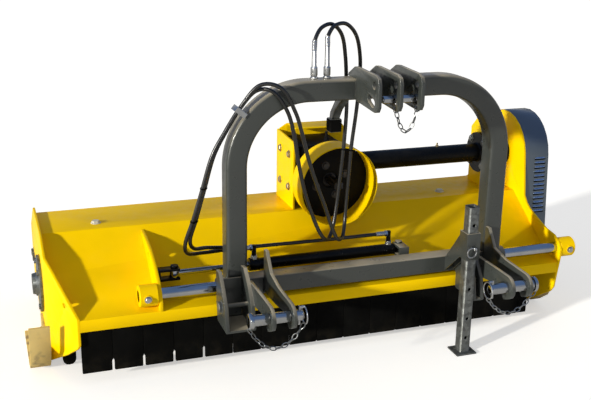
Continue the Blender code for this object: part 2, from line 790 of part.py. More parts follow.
def slide_bar(deck):
    """Chromed bar with its left plate and end bosses."""
    left = LEFT_BRACKET_X - BRACKET_PLATE / 2
    boss_left = left - SEAT - BOSS_LENGTH
    boss_right = DECK_RIGHT + END_PLATE + SEAT + BOSS_LENGTH
    spot = (BAR_Y, BAR_Z)
    place("slide_bar", rod("X", spot, boss_left + 0.012, boss_right - 0.012, BAR_R, 24),
          (CHROME, 0.12, 1.0), deck)
    top = [(0.318, deck_surface(0.318) + SEAT), (0.250, 0.405), (0.160, 0.388), (0.094, 0.362),
           (0.040, 0.327), (0.006, 0.292), (-0.004, 0.262), (-0.004, LIP_TOP + SEAT)]
    base = [(0.0, LIP_TOP + SEAT), (SHELF_BACK[0], SHELF_BACK[1] + SEAT)]
    bore = circle(*spot, BAR_R + SEAT, 24)
    peep = circle(0.185, 0.365, 0.008, 8)
    plate = prism("X", top + base, left, left + BRACKET_PLATE, [bore, peep])
    place("left_bar_bracket", plate, (YELLOW, 0.35, 0.0), deck)
    for side, low, high, screw_x in (
            ("left", boss_left, left - SEAT, boss_left + BOSS_SCREW_INSET),
            ("right", DECK_RIGHT + END_PLATE + SEAT, boss_right, boss_right - BOSS_SCREW_INSET)):
        boss = pipe("X", spot, low, high, BOSS_R, BAR_R + SEAT, 24)
        screw = rod("Y", (screw_x, BAR_Z), BAR_Y - BOSS_R - 0.008, BAR_Y - BOSS_R + 0.004, BOSS_SCREW, 6)
        place(side + "_bar_boss", fused(boss, screw), (YELLOW, 0.35, 0.0), deck)


# Headstock

def arch_path(middle):
    """Centre line of the arch, from the left foot to the right foot."""
    top = ARCH_TOP - ARCH_TUBE / 2
    left = arc(LEFT_LEG_X + ARCH_BEND, top - ARCH_BEND, ARCH_BEND, 180, 90, ARCH_BEND_STEPS)
    right = arc(RIGHT_LEG_X - ARCH_BEND, top - ARCH_BEND, ARCH_BEND, 90, 0, ARCH_BEND_STEPS)
    flat = [(LEFT_LEG_X, LEG_FOOT)] + left + right + [(RIGHT_LEG_X, LEG_FOOT)]
    return [(x, middle, z) for x, z in flat]


def arch(head):
    """Bent square tube, open at its feet, which straddle the sleeve."""
    path = arch_path(BAR_Y)
    outer = sweep(path, rounded_square(ARCH_TUBE, ARCH_CORNER, 1), (0, 1, 0))
    reach = 0.02
    inner_path = [(path[0][0], BAR_Y, LEG_FOOT - reach)] + path[1:-1]
    inner_path.append((path[-1][0], BAR_Y, LEG_FOOT - reach))
    inner = sweep(inner_path, rounded_square(ARCH_TUBE - 2 * ARCH_WALL, ARCH_CORNER - ARCH_WALL, 1),
                  (0, 1, 0))
    saddle = block((SLEEVE_LEFT - reach, SLEEVE_RIGHT + reach), (HEAD_FRONT - SEAT, HEAD_BACK + SEAT),
                   (SLEEVE_BOTTOM - reach, SLEEVE_TOP + SEAT))
    place("headstock_arch", cut(outer, inner, saddle), (GREY, 0.45, 0.0), head)


def sleeve(head):
    """Square sleeve that slides on the bar, with a bush in each end."""
    spot = (BAR_Y, BAR_Z)
    bush_r = BAR_R + SLIDE + BUSH_WALL
    half = SLEEVE_SIZE / 2
    corners = [(BAR_Y - half, BAR_Z - half), (BAR_Y + half, BAR_Z - half),
               (BAR_Y + half, BAR_Z + half), (BAR_Y - half, BAR_Z + half)]
    body = prism("X", corners, SLEEVE_LEFT, SLEEVE_RIGHT, [circle(*spot, bush_r + SEAT, 24)])
    place("slide_sleeve", body, (GREY, 0.45, 0.0), head)
    bore = BAR_R + SLIDE
    for side, end, way in (("left", SLEEVE_LEFT, -1), ("right", SLEEVE_RIGHT, 1)):
        face = end + way * SEAT
        far = end + way * BUSH_FLANGE
        near = end - way * BUSH_LENGTH
        bush = turned("X", spot, [(near, bush_r), (face, bush_r), (face, BUSH_FLANGE_R),
                                  (far, BUSH_FLANGE_R), (far, bore), (near, bore)], 24)
        place(side + "_slide_bush", bush, (BRONZE, 0.4, 0.6), head)


def rear_edge(low, high):
    """Where a hitch plate's rear edge seats: on a leg or on the sleeve."""
    for leg in (LEFT_LEG_X, RIGHT_LEG_X):
        if low < leg + ARCH_TUBE / 2 and high > leg - ARCH_TUBE / 2:
            return LEG_FRONT - SEAT
    return HEAD_FRONT - SEAT


def hook_outline(back, tall):
    """Side view of a hitch hook plate."""
    y, z = HITCH_PIN_Y, HITCH_PIN_Z
    tip = arc(y, z, 0.040, 95, 255, 6)
    under = [(y + 0.012, z - 0.047), (y + 0.030, z - 0.030), (y + 0.050, z - 0.012),
             (-0.120, 0.268), (back, 0.262)]
    if tall:
        return [(back, 0.412), (back - 0.022, 0.412), (-0.070, 0.352), (-0.150, 0.336)] + tip + under
    return [(back, SLEEVE_TOP), (-0.060, 0.330), (-0.150, 0.332)] + tip + under


def cheek_outline(back):
    """Side view of a hitch box's cheek, clear of the deck's lip below."""
    clear = back - 0.008
    return [(back, 0.365), (back - 0.030, 0.368), (-0.085, 0.325), (-0.125, 0.270),
            (-0.140, HITCH_BOX_FLOOR), (clear, HITCH_BOX_FLOOR), (clear, LIP_TOP + 0.010),
            (back, LIP_TOP + 0.016)]


def hitch_places(side):
    """Left faces of a hitch point's plates: the two hooks, then the box's
    left and right cheeks."""
    middle = HEAD_X + (-0.5 if side == "left" else 0.5) * HITCH_SPACING
    inner = middle + HITCH_GAP / 2
    outer = middle - HITCH_GAP / 2 - HITCH_PLATE
    box_right = outer - HITCH_PLATE
    width = HITCH_BOX_WIDTH if side == "left" else HITCH_BOX_WIDTH_RIGHT
    return outer, inner, box_right - width + HITCH_PLATE, box_right


def lower_hitch(head, side):
    """Two hook plates for the lower link. The outer one is welded to a box
    bracket, which holds a through bolt."""
    outer, inner, box_left, box_right = hitch_places(side)
    pin_hole = circle(HITCH_PIN_Y, HITCH_PIN_Z, HITCH_PIN_R + SLIDE, 16)
    edge = hook_outline(rear_edge(inner, inner + HITCH_PLATE), True)
    place(side + "_inner_hook", prism("X", edge, inner, inner + HITCH_PLATE, [pin_hole]),
          (GREY, 0.45, 0.0), head)
    edge = hook_outline(rear_edge(outer, outer + HITCH_PLATE), False)
    hook = prism("X", edge, outer, outer + HITCH_PLATE, [pin_hole])
    left_back = rear_edge(box_left, box_left + HITCH_PLATE)
    if side == "left":
        left_back = LEG_FRONT - 0.012
    right_back = rear_edge(box_right, box_right + HITCH_PLATE)
    left_cheek = prism("X", cheek_outline(left_back), box_left, box_left + HITCH_PLATE)
    right_cheek = prism("X", cheek_outline(right_back), box_right, outer + 0.001)
    floor = block((box_left + 0.001, outer - 0.001), (-0.139, min(left_back, right_back) - 0.012),
                  (HITCH_BOX_FLOOR - 0.004, HITCH_BOX_FLOOR + 0.004))
    shank = rod("X", (HITCH_BOLT_Y, HITCH_BOLT_Z), box_left + 0.002, box_right + 0.002, HITCH_BOLT / 2, 8)
    nut = bolt_head("X", (HITCH_BOLT_Y, HITCH_BOLT_Z), box_left, HITCH_BOLT, -1)
    place(side + "_hitch_box", fused(hook, right_cheek, floor, left_cheek, shank, nut),
          (GREY, 0.45, 0.0), head)


def linkage_pin(holder, name, end, reach, spot):
    """Linkage pin: a ringed head, a plain shank and a cross hole at its end.
    The signed reach goes from the end's face to the head."""
    way = math.copysign(1, reach)
    radius = HITCH_PIN_R
    head_r = HITCH_PIN_HEAD_R
    head = end + reach
    hole = rod("Z", (end + way * LYNCH_INSET, spot[0]), spot[1] - 0.05, spot[1] + 0.05,
               LYNCH_PEG_R + SEAT, 8)
    shank = turned("X", spot, [(head + way * 0.014, 0), (head + way * 0.014, head_r * 0.8),
                   (head + way * 0.010, head_r), (head, head_r), (head, radius),
                   (end + way * 0.004, radius), (end, radius - 0.004), (end, 0)], 16)
    place(name, cut(shank, hole), (CHROME, 0.25, 1.0), holder)


def lynch_pin(holder, name, x, ring_x, spot):
    """Lynch pin: a peg through the linkage pin, with a spring ring that
    stands round the pin just beyond its end face."""
    y, z = spot
    top = z + HITCH_PIN_R + 0.012
    peg = rod("Z", (x, y), z - HITCH_PIN_R - 0.014, top, LYNCH_PEG_R, 8)
    low, high = sorted((x, ring_x))
    neck = rod("X", (y, top - LYNCH_PEG_R), low, high, LYNCH_PEG_R, 8)
    wire = LYNCH_WIRE / 2
    eye = turned("X", (y, top - LYNCH_PEG_R - LYNCH_RING_R), [
        (ring_x + wire * math.cos(a), LYNCH_RING_R + wire * math.sin(a))
        for a in (math.radians(d) for d in (45, 135, 225, 315))], 20)
    place(name, fused(peg, neck, eye), (STEEL, 0.3, 1.0), holder)


def top_bracket(head):
    """Three plates on the arch for the top link."""
    beam_top = ARCH_TOP + SEAT
    beam_bottom = ARCH_TOP - ARCH_TUBE
    crest = ARCH_TOP + TOP_PLATE_RISE
    back = LEG_FRONT - SEAT
    outline = [(back, beam_bottom), (TOP_FRONT + 0.028, beam_bottom - 0.010),
               (TOP_FRONT + 0.010, beam_bottom - 0.006), (TOP_FRONT, beam_bottom + 0.010),
               (TOP_FRONT, crest - 0.030), (TOP_FRONT + 0.008, crest - 0.012),
               (TOP_FRONT + 0.028, crest - 0.004), (BAR_Y - 0.040, crest), (BAR_Y - 0.020, crest - 0.002),
               (LEG_BACK - 0.004, crest - 0.030), (LEG_BACK - 0.002, beam_top),
               (back, beam_top)]
    hole = circle(TOP_HOLE_Y, TOP_HOLE_Z, 0.0125, 12)
    slot = slotted((TOP_PIN_Y - 0.016, TOP_PIN_Z - 0.006), (TOP_PIN_Y + 0.012, TOP_PIN_Z + 0.0043),
                   TOP_PIN_R + SLIDE)
    for i, side in ((-1, "left"), (0, "middle"), (1, "right")):
        x = HEAD_X + i * TOP_PLATE_PITCH - TOP_PLATE / 2
        place(side + "_top_plate", prism("X", outline, x, x + TOP_PLATE, [hole, slot]),
              (GREY, 0.45, 0.0), head)


def shaft_holder(head):
    """Arm under the arch with a block that holds a parked drive shaft."""
    top = ARCH_TOP - ARCH_TUBE - SEAT
    pad_top = top - HOLDER_DROP
    near, far = HOLDER_PAD
    outline = [(BAR_Y - 0.022, top), (BAR_Y + 0.024, top), (BAR_Y + far - 0.015, pad_top + 0.022),
               (BAR_Y + far - 0.008, pad_top - 0.001), (BAR_Y + near + 0.006, pad_top - 0.001),
               (BAR_Y + 0.030, pad_top + 0.037)]
    x = HEAD_X + SHAFT_HOLDER_OFFSET
    arm = prism("X", outline, x - 0.014, x + 0.014)
    pad = block((x - 0.019, x + 0.019), (BAR_Y + near, BAR_Y + far), (pad_top - HOLDER_PAD_TALL, pad_top))
    place("shaft_holder", fused(arm, pad), (GREY, 0.5, 0.0), head)


# Parking stand

def stand_sleeve(head):
    """Square guide for the stand, on two ribs from the sliding sleeve."""
    half = STAND_TUBE / 2 + SLIDE
    outside = half + STAND_SLEEVE_WALL
    outer = [(STAND_X + a * outside, STAND_Y + b * outside) for a, b in UNIT_SQUARE]
    inner = [(STAND_X + a * half, STAND_Y + b * half) for a, b in UNIT_SQUARE]
    guide = prism("Z", outer, STAND_SLEEVE_BOTTOM, STAND_SLEEVE_TOP, [inner])
    back = STAND_Y + outside
    rib = [(back - 0.002, STAND_SLEEVE_TOP - 0.004), (back - 0.002, STAND_SLEEVE_BOTTOM),
           (HEAD_FRONT - SEAT, SLEEVE_BOTTOM + 0.006), (HEAD_FRONT - SEAT, SLEEVE_TOP - 0.004)]
    ribs = [prism("X", rib, STAND_X + a, STAND_X + a + STAND_SLEEVE_WALL)
            for a in (-0.014 - STAND_SLEEVE_WALL, 0.014)]
    hole = rod("Y", (STAND_X, STAND_PIN_Z), STAND_Y - outside - 0.01, back + 0.01, STAND_PIN_R + SEAT, 8)
    place("stand_guide", cut(fused(guide, *ribs), hole), (GREY, 0.45, 0.0), head)


def stand(holder):
    """Square tube with pin holes, welded to its foot plate."""
    half = STAND_TUBE / 2
    corner = 0.005
    wall = STAND_WALL
    outer = [(STAND_X + a, STAND_Y + b) for a, b in rounded_square(STAND_TUBE, corner, 1)]
    tube = prism("Z", outer, STAND_FOOT_THICK - 0.001, STAND_TOP)
    core = block((STAND_X - half + wall, STAND_X + half - wall), (STAND_Y - half + wall, STAND_Y + half - wall),
                 (STAND_FOOT_THICK + 0.004, STAND_TOP + 0.01))
    holes = [rod("Y", (STAND_X, z), STAND_Y - half - 0.01, STAND_Y + half + 0.01, STAND_PIN_R + SEAT, 8)
             for z in STAND_HOLES]
    foot = block((STAND_X - STAND_FOOT[0] / 2, STAND_X + STAND_FOOT[0] / 2),
                 (STAND_Y - STAND_FOOT[1] / 2, STAND_Y + STAND_FOOT[1] / 2), (0.0, STAND_FOOT_THICK))
    place("parking_stand", cut(fused(tube, foot), core, *holes), (GALVANISED, 0.45, 0.7), holder)


def stand_pin(holder):
    """Locking pin with its ring in front of the guide, drawn back so that its
    tip just clears the stand; pushed in, it enters the stand's front wall."""
    front = STAND_Y - STAND_TUBE / 2 - SLIDE - STAND_SLEEVE_WALL
    tip = STAND_Y - STAND_TUBE / 2 - SLIDE
    pin = rod("Y", (STAND_X, STAND_PIN_Z), front - 0.016, tip, STAND_PIN_R, 8)
    loop = turned("Y", (STAND_X - 0.012, STAND_PIN_Z - 0.012), [
        (front - 0.012 + 0.003 * math.cos(a), 0.017 + 0.003 * math.sin(a))
        for a in (math.radians(d) for d in (45, 135, 225, 315))], 12)
    place("stand_lock_pin", fused(pin, loop), (CHROME, 0.3, 1.0), holder)


# Cylinder

def cylinder_rod(deck):
    """Rod, piston and clevis eye, held by the left bracket's lugs."""
    spot = (CYL_Y, CYL_Z)
    eye_x = rod_pin_x()
    eye = pipe("Z", (eye_x, CYL_Y), CYL_Z - CYL_EYE_HALF, CYL_Z + CYL_EYE_HALF, CYL_EYE_R,
               CYL_PIN_R + SEAT, 16)
    shaft = rod("X", spot, eye_x + CYL_EYE_R - 0.003, PISTON_LEFT + 0.001, CYL_ROD_R, 12)
    head = rod("X", spot, PISTON_LEFT, PISTON_LEFT + PISTON_LENGTH,
               CYL_BARREL_R - CYL_WALL - SLIDE, 16)
    place("cylinder_rod", fused(shaft, eye, head), (CHROME, 0.15, 1.0), deck)


def rod_pin_x():
    """Place of the rod's pin along the machine."""
    return LEFT_BRACKET_X + BRACKET_PLATE / 2 + 0.062


def eye_x_right():
    """Place of the barrel's pin along the machine."""
    return CYL_LEFT + CYL_LENGTH + CYL_EYE_R + 0.004


def lug_pair(x_low, x_high, y_low, y_high):
    """Two flat lugs, above and below a cylinder eye."""
    lugs = []
    for way in (-1, 1):
        near = CYL_Z + way * (CYL_EYE_HALF + SEAT)
        lugs.append(block((x_low, x_high), (y_low, y_high), sorted((near, near + way * CYL_LUG))))
    return lugs


def clevis_pin(x):
    """Vertical pin through a pair of lugs."""
    reach = CYL_EYE_HALF + SEAT + CYL_LUG
    low = CYL_Z - reach - 0.004
    high = CYL_Z + reach
    return turned("Z", (x, CYL_Y), [(low, 0), (low, CYL_PIN_R), (high + SEAT, CYL_PIN_R),
                  (high + SEAT, 0.013), (high + SEAT + 0.007, 0.013), (high + SEAT + 0.007, 0)], 12)


def cylinder_mounts(deck, head):
    """Forks and pins at the two ends of the cylinder."""
    left = LEFT_BRACKET_X + BRACKET_PLATE / 2 + SEAT
    x = rod_pin_x()
    lugs = lug_pair(left, x + 0.016, CYL_Y - 0.018, CYL_Y + 0.014)
    web = block((left, left + 0.012), (CYL_Y - 0.018, CYL_Y + 0.014), lug_heights())
    place("rod_fork", fused(web, *lugs, clevis_pin(x)), (YELLOW, 0.4, 0.0), deck)
    x = eye_x_right()
    lugs = lug_pair(x - 0.018, x + 0.018, HEAD_BACK + SEAT, CYL_Y + 0.016)
    web = block((x - 0.018, x + 0.018), (HEAD_BACK + SEAT, HEAD_BACK + 0.010), lug_heights())
    place("barrel_fork", fused(web, *lugs, clevis_pin(x)), (GREY, 0.45, 0.0), head)


def lug_heights():
    """Lowest and highest level of a cylinder fork."""
    reach = CYL_EYE_HALF + SEAT + CYL_LUG
    return CYL_Z - reach, CYL_Z + reach


def elbow(x):
    """Hose elbow on the barrel: it turns to face left along the machine."""
    upright = rod("Z", (x, CYL_Y), CYL_Z + CYL_BARREL_R - 0.003, ELBOW_Z + ELBOW_R, ELBOW_R, 8)
    arm = rod("X", (CYL_Y, ELBOW_Z), x - ELBOW_REACH, x, ELBOW_R - 0.001, 8, math.radians(22.5))
    return fused(upright, arm)


def hose_end(x):
    """Where a hose meets its elbow."""
    return (x - ELBOW_REACH - SEAT, CYL_Y, ELBOW_Z)


def cylinder_barrel(head):
    """Barrel with its gland, end eye and two ports."""
    spot = (CYL_Y, CYL_Z)
    right = CYL_LEFT + CYL_LENGTH
    bore = CYL_BARREL_R - CYL_WALL
    gland = CYL_ROD_R + SLIDE
    body = turned("X", spot, [(CYL_LEFT, gland), (CYL_LEFT, CYL_BARREL_R + 0.003),
                  (CYL_LEFT + 0.035, CYL_BARREL_R + 0.003), (CYL_LEFT + 0.036, CYL_BARREL_R),
                  (right, CYL_BARREL_R), (right, 0), (right - 0.020, 0), (right - 0.020, bore),
                  (CYL_LEFT + 0.035, bore), (CYL_LEFT + 0.035, gland)], 16)
    eye = pipe("Z", (eye_x_right(), CYL_Y), CYL_Z - CYL_EYE_HALF, CYL_Z + CYL_EYE_HALF, CYL_EYE_R,
               CYL_PIN_R + SEAT, 16)
    neck_end = eye_x_right() - CYL_PIN_R - 0.0025
    neck = rod("X", spot, right - 0.002, neck_end, CYL_NECK_R, 8, math.radians(10))
    barrel = fused(body, neck, eye, elbow(port_left_x()), elbow(port_right_x()))
    place("cylinder_barrel", barrel, (DARK, 0.4, 0.3), head)


def port_left_x():
    return CYL_LEFT + 0.018


def port_right_x():
    return CYL_LEFT + CYL_LENGTH - 0.020


# Gearbox and drive

def gearbox(deck):
    """Bevel gearbox casing: hollow, with a nose and guard plate round the
    input shaft and an outlet towards the drive tube."""
    hx, hy, hz = GEARBOX_HALF
    x, y, z = GEARBOX_X, GEARBOX_Y, GEARBOX_Z
    wall = GEARBOX_WALL
    shell = block((x - hx, x + hx), (y - hy, y + hy), (z - hz, z + hz))
    nose = rod("Y", (x, z), GEARBOX_NOSE_FRONT, y - hy + 0.002, GEARBOX_NOSE_R, 20)
    outlet = rod("X", (y, z), x + hx - 0.002, x + hx + OUTLET_LENGTH, CROSS_FLANGE_R, 20)
    vent = rod("Z", (x + 0.045, y - 0.045), z + hz - 0.002, z + hz + 0.018, 0.010, 8)
    stem = rod("Z", (x + 0.045, y - 0.045), z + hz - 0.002, z + hz + 0.040, 0.005, 8)
    core = block((x - hx + wall, x + hx - wall), (y - hy + wall, y + hy - wall),
                 (z - hz + wall, z + hz - wall))
    disc = rod("Y", (x, z), GEARBOX_NOSE_FRONT - GUARD_PLATE, GEARBOX_NOSE_FRONT + 0.001,
               GUARD_R - GUARD_WALL - SEAT, 32)
    screws = heads("Y", guard_bolts(), GEARBOX_NOSE_FRONT - GUARD_PLATE, GUARD_BOLT, -1)
    bore_in = rod("Y", (x, z), GEARBOX_NOSE_FRONT - 0.02, y, input_seat_r(), 24)
    bore_out = rod("X", (y, z), x, x + hx + 0.05, output_seat_r(), 24)
    casing = cut(fused(shell, nose, outlet, disc, vent, stem, *screws), fused(core, bore_in, bore_out))
    place("gearbox_casing", casing, (DARK, 0.5, 0.3), deck)


def input_seat_r():
    """Radius of the gearbox's bore for the input bearing."""
    return INPUT_SHAFT_R + BEARING_RACE


def output_seat_r():
    """Radius of the gearbox's bore for the cross shaft's bearing."""
    return CROSS_SHAFT_R + BEARING_RACE


def bracket_bolts():
    """Places of the four bolts through the gearbox's left bracket."""
    return [(GEARBOX_Y + a, GEARBOX_Z + b) for a in (-0.050, 0.050) for b in (-0.062, 0.062)]


def gearbox_brackets(deck):
    """Yellow plates that carry the gearbox on the deck's top panel."""
    hx, hy, hz = GEARBOX_HALF
    inner = GEARBOX_X - hx - SEAT
    front = FACE_TOP[0] + 0.010
    back = GEARBOX_Y + hy + SEAT
    base = PANEL_Z + SEAT
    side = [(front, base), (back + BRACKET_THICK, base), (back + BRACKET_THICK, BRACKET_TOP + 0.006),
            (front + 0.010, BRACKET_TOP - 0.002), (front, BRACKET_TOP - 0.014)]
    outer = inner - BRACKET_THICK
    left = fused(prism("X", side, outer, inner), *heads("X", bracket_bolts(), outer, GEARBOX_BOLT, -1))
    place("gearbox_side_bracket", left, (YELLOW, 0.35, 0.0), deck)
    x0 = inner + SEAT
    top_r = 0.050
    wall = [(x0, base), (COVER_RIGHT, base)] + arc(COVER_RIGHT - top_r, COVER_TOP - top_r, top_r, 0, 90, 6)
    wall += [(x0 + 0.030, COVER_TOP), (x0, COVER_TOP - 0.018)]
    plate = prism("Y", wall, back, back + BRACKET_THICK)
    top = block((x0 + 0.034, COVER_RIGHT - top_r), (back - 0.085, back + 0.004),
                (COVER_TOP - 0.006, COVER_TOP))
    place("gearbox_rear_bracket", fused(plate, top), (YELLOW, 0.35, 0.0), deck)


def bearing(axis, centre, low, high, seat_r, shaft_r):
    """Ball bearing as one ring: it fills the seat and runs on the shaft."""
    outer = seat_r - SEAT
    return pipe(axis, centre, low, high, outer, running_bore(shaft_r, 24), 24)


def drive_bearings(deck):
    """Bearings of the input shaft and of the cross shaft."""
    finish = (STEEL, 0.3, 0.9)
    low = GEARBOX_NOSE_FRONT + 0.004
    ring = bearing("Y", (GEARBOX_X, GEARBOX_Z), low, low + 0.020, input_seat_r(), INPUT_SHAFT_R)
    place("input_bearing", ring, finish, deck)
    low = GEARBOX_X + GEARBOX_HALF[0] + 0.004
    ring = bearing("X", (GEARBOX_Y, GEARBOX_Z), low, low + 0.020, output_seat_r(), CROSS_SHAFT_R)
    place("cross_shaft_bearing", ring, finish, deck)


def bevel(axis, centre, wide, narrow, wide_r, narrow_r, hub, teeth):
    """Bevel gear: short straight teeth on a cone, with a plain disc behind.
    The tips stand a little inside the pitch cone."""
    rows = []
    step = 2 * math.pi / teeth
    for ring_w, ring_r in ((hub, wide_r), (wide, wide_r), (narrow, narrow_r)):
        row = []
        for i in range(teeth):
            for share, depth in ((0.0, 0.003), (0.25, 0.0), (0.5, 0.0), (0.75, 0.003)):
                angle = (i + share) * step
                radius = ring_r - MESH_GAP - depth
                row.append(along(axis, centre[0] + radius * math.cos(angle),
                                 centre[1] + radius * math.sin(angle), ring_w))
        rows.append(row)
    size = len(rows[0])
    points = rows[0] + rows[1] + rows[2]
    faces = [list(range(size)), list(range(2 * size, 3 * size))]
    for k in (0, size):
        faces += [(k + i, k + (i + 1) % size, k + size + (i + 1) % size, k + size + i) for i in range(size)]
    return solid(points, faces)


def input_shaft(holder):
    """Splined stub for the drive shaft, with the large bevel gear."""
    spot = (GEARBOX_X, GEARBOX_Z)
    spline = []
    for i in range(12):
        radius = INPUT_SHAFT_R if i % 2 else INPUT_SHAFT_R - 0.003
        angle = i * math.pi / 6
        for share in (-0.12, 0.12):
            spline.append((GEARBOX_X + radius * math.cos(angle + share),
                           GEARBOX_Z + radius * math.sin(angle + share)))
    stub = prism("Y", spline, INPUT_SHAFT_FRONT, GEARBOX_NOSE_FRONT)
    shaft = rod("Y", spot, GEARBOX_NOSE_FRONT - 0.001, GEAR_FACE + 0.002, INPUT_SHAFT_R, 24)
    gear = bevel("Y", spot, GEAR_BACK, GEAR_FACE, BEVEL_GEAR_R, BEVEL_GEAR_R - 0.014, GEAR_BACK - 0.016, 22)
    place("input_shaft", fused(stub, shaft, gear), (STEEL, 0.25, 1.0), holder)


def cross_shaft(holder):
    """Shaft through the drive tube, with the bevel pinion and upper pulley."""
    spot = (GEARBOX_Y, GEARBOX_Z)
    left = GEARBOX_X + BEVEL_GEAR_R - 0.018
    right = PULLEY_LEFT + PULLEY_WIDTH - 0.004
    shaft = rod("X", spot, left, right, CROSS_SHAFT_R, 24)
    back = GEARBOX_X + BEVEL_GEAR_R
    gear = bevel("X", spot, back, back - 0.014, BEVEL_PINION_R, BEVEL_PINION_R * (1 - 0.014 / BEVEL_GEAR_R),
                 back + 0.008, 10)
    place("cross_shaft", fused(shaft, gear), (STEEL, 0.3, 1.0), holder)
    place("upper_pulley", pulley(spot, UPPER_PULLEY_R, CROSS_SHAFT_R), (STEEL, 0.5, 0.7), holder)


def pulley(spot, radius, shaft):
    """Grooved pulley for the belts, with a hub and a thin web."""
    profile = [(PULLEY_LEFT, radius)]
    middle = PULLEY_LEFT + PULLEY_WIDTH / 2
    for i in range(BELT_COUNT):
        x = middle + (i - (BELT_COUNT - 1) / 2) * BELT_PITCH
        profile += [(x - 0.0080, radius), (x - 0.0052, radius - 0.012),
                    (x + 0.0052, radius - 0.012), (x + 0.0080, radius)]
    right = PULLEY_LEFT + PULLEY_WIDTH
    profile += [(right, radius), (right, radius - 0.022), (middle + 0.006, radius - 0.024),
                (middle + 0.006, shaft + 0.016), (right - 0.006, shaft + 0.014),
                (right - 0.006, shaft + 2 * SEAT), (PULLEY_LEFT, shaft + 2 * SEAT)]
    return turned("X", spot, profile, 16)


def belts(deck):
    """Banded V-belt round the two pulleys: its ribs lie in their grooves."""
    middle = PULLEY_LEFT + PULLEY_WIDTH / 2
    half = BELT_HALF + BELT_PITCH * (BELT_COUNT - 1) / 2
    section = [(-half, BELT_LIFT + BELT_BAND), (half, BELT_LIFT + BELT_BAND)]
    for i in reversed(range(BELT_COUNT)):
        x = (i - (BELT_COUNT - 1) / 2) * BELT_PITCH
        section += [(x + BELT_HALF, BELT_LIFT), (x + BELT_HALF - 0.002, BELT_LIFT - BELT_DEPTH),
                    (x - BELT_HALF + 0.002, BELT_LIFT - BELT_DEPTH), (x - BELT_HALF, BELT_LIFT)]
    points = []
    for dx, dr in section:
        course = belt_outline((ROTOR_Y, ROTOR_Z), LOWER_PULLEY_R + dr,
                              (GEARBOX_Y, GEARBOX_Z), UPPER_PULLEY_R + dr, 12)
        points += [(middle + dx, y, z) for y, z in course]
    count = len(points) // len(section)
    faces = []
    for a in range(len(section)):
        b = (a + 1) % len(section)
        for k in range(count):
            m = (k + 1) % count
            faces.append((a * count + k, a * count + m, b * count + m, b * count + k))
    place("drive_belt", solid(points, faces), (RUBBER, 0.7, 0.0), deck)


def drive_tube(deck):
    """Tube that houses the cross shaft, from the gearbox to the end plate,
    with a flange at each end and one at its support."""
    spot = (GEARBOX_Y, GEARBOX_Z)
    left = GEARBOX_X + GEARBOX_HALF[0] + OUTLET_LENGTH + SEAT
    right = DECK_RIGHT - SEAT
    middle = SUPPORT_X - SEAT
    bore = CROSS_TUBE_R - CROSS_TUBE_WALL
    tube = turned("X", spot, [
        (left, CROSS_FLANGE_R), (left + TUBE_FLANGE, CROSS_FLANGE_R), (left + TUBE_FLANGE, CROSS_TUBE_R),
        (middle - TUBE_FLANGE, CROSS_TUBE_R), (middle - TUBE_FLANGE, SUPPORT_FLANGE_R),
        (middle, SUPPORT_FLANGE_R), (middle, CROSS_TUBE_R), (right - TUBE_FLANGE, CROSS_TUBE_R),
        (right - TUBE_FLANGE, CROSS_FLANGE_R), (right, CROSS_FLANGE_R), (right, bore), (left, bore)], 16)
    bolts = heads("X", support_bolts(), middle - TUBE_FLANGE, TUBE_BOLT, -1)
    place("drive_tube", fused(tube, *bolts), (DARK, 0.4, 0.2), deck)


def support_bolts():
    """Places of the bolts that hold the tube's middle flange."""
    return circle(GEARBOX_Y, GEARBOX_Z, SUPPORT_FLANGE_R - 0.014, 4, math.radians(45))


def tube_support(deck):
    """Upright plate round the drive tube, with a foot on the top panel."""
    base = PANEL_Z + SEAT
    half = SUPPORT_WIDTH / 2
    crown = COVER_TOP - 0.004
    outline = [(GEARBOX_Y - half, base), (GEARBOX_Y + half, base), (GEARBOX_Y + half, crown - 0.050),
               (GEARBOX_Y + half - 0.050, crown), (GEARBOX_Y - half + 0.050, crown),
               (GEARBOX_Y - half, crown - 0.050)]
    hole = circle(GEARBOX_Y, GEARBOX_Z, CROSS_TUBE_R + 2 * SEAT, 16)
    upright = prism("X", outline, SUPPORT_X, SUPPORT_X + BRACKET_THICK, [hole])
    foot = block((SUPPORT_X, SUPPORT_X + 0.045), (GEARBOX_Y - half, GEARBOX_Y + half), (base, base + 0.006))
    place("tube_support", fused(upright, foot), (YELLOW, 0.35, 0.0), deck)


def pto_guard(deck):
    """Yellow ring round the input shaft, on the gearbox's guard plate."""
    spot = (GEARBOX_X, GEARBOX_Z)
    back = GUARD_FRONT + GUARD_DEPTH
    bore = GUARD_R - GUARD_WALL
    ring = pipe("Y", spot, GUARD_FRONT, back, GUARD_R, bore, 32)
    place("pto_guard_ring", ring, (YELLOW, 0.35, 0.0), deck)


def guard_bolts():
    """Places of the guard plate's bolts on the gearbox nose."""
    return circle(GEARBOX_X, GEARBOX_Z, GEARBOX_NOSE_R - 0.014, 4, math.radians(20))


def belt_case(deck):
    """Hollow cover over the belts, with louvres down its front."""
    low = (ROTOR_Y, ROTOR_Z)
    high = (GEARBOX_Y, GEARBOX_Z)
    left = DECK_RIGHT + END_PLATE + SEAT
    right = left + CASE_WIDTH
    outer = belt_outline(low, CASE_LOW_R, high, CASE_TOP_R, 14)
    inner = belt_outline(low, CASE_LOW_R - CASE_WALL, high, CASE_TOP_R - CASE_WALL, 14)
    shell = prism("X", outer, left, right)
    core = prism("X", inner, left - 0.01, right - CASE_WALL)
    slots = []
    for i in range(LOUVRE_COUNT):
        z = LOUVRE_TOP - i * LOUVRE_PITCH
        slots.append(block((right - 0.062, right - 0.012), (0.20, 0.32), (z - LOUVRE_HEIGHT, z)))
    case = cut(shell, core, *slots)
    place("belt_case_cover", case, (COVER_GREY, 0.3, 0.2), deck)


# Hoses and their fittings

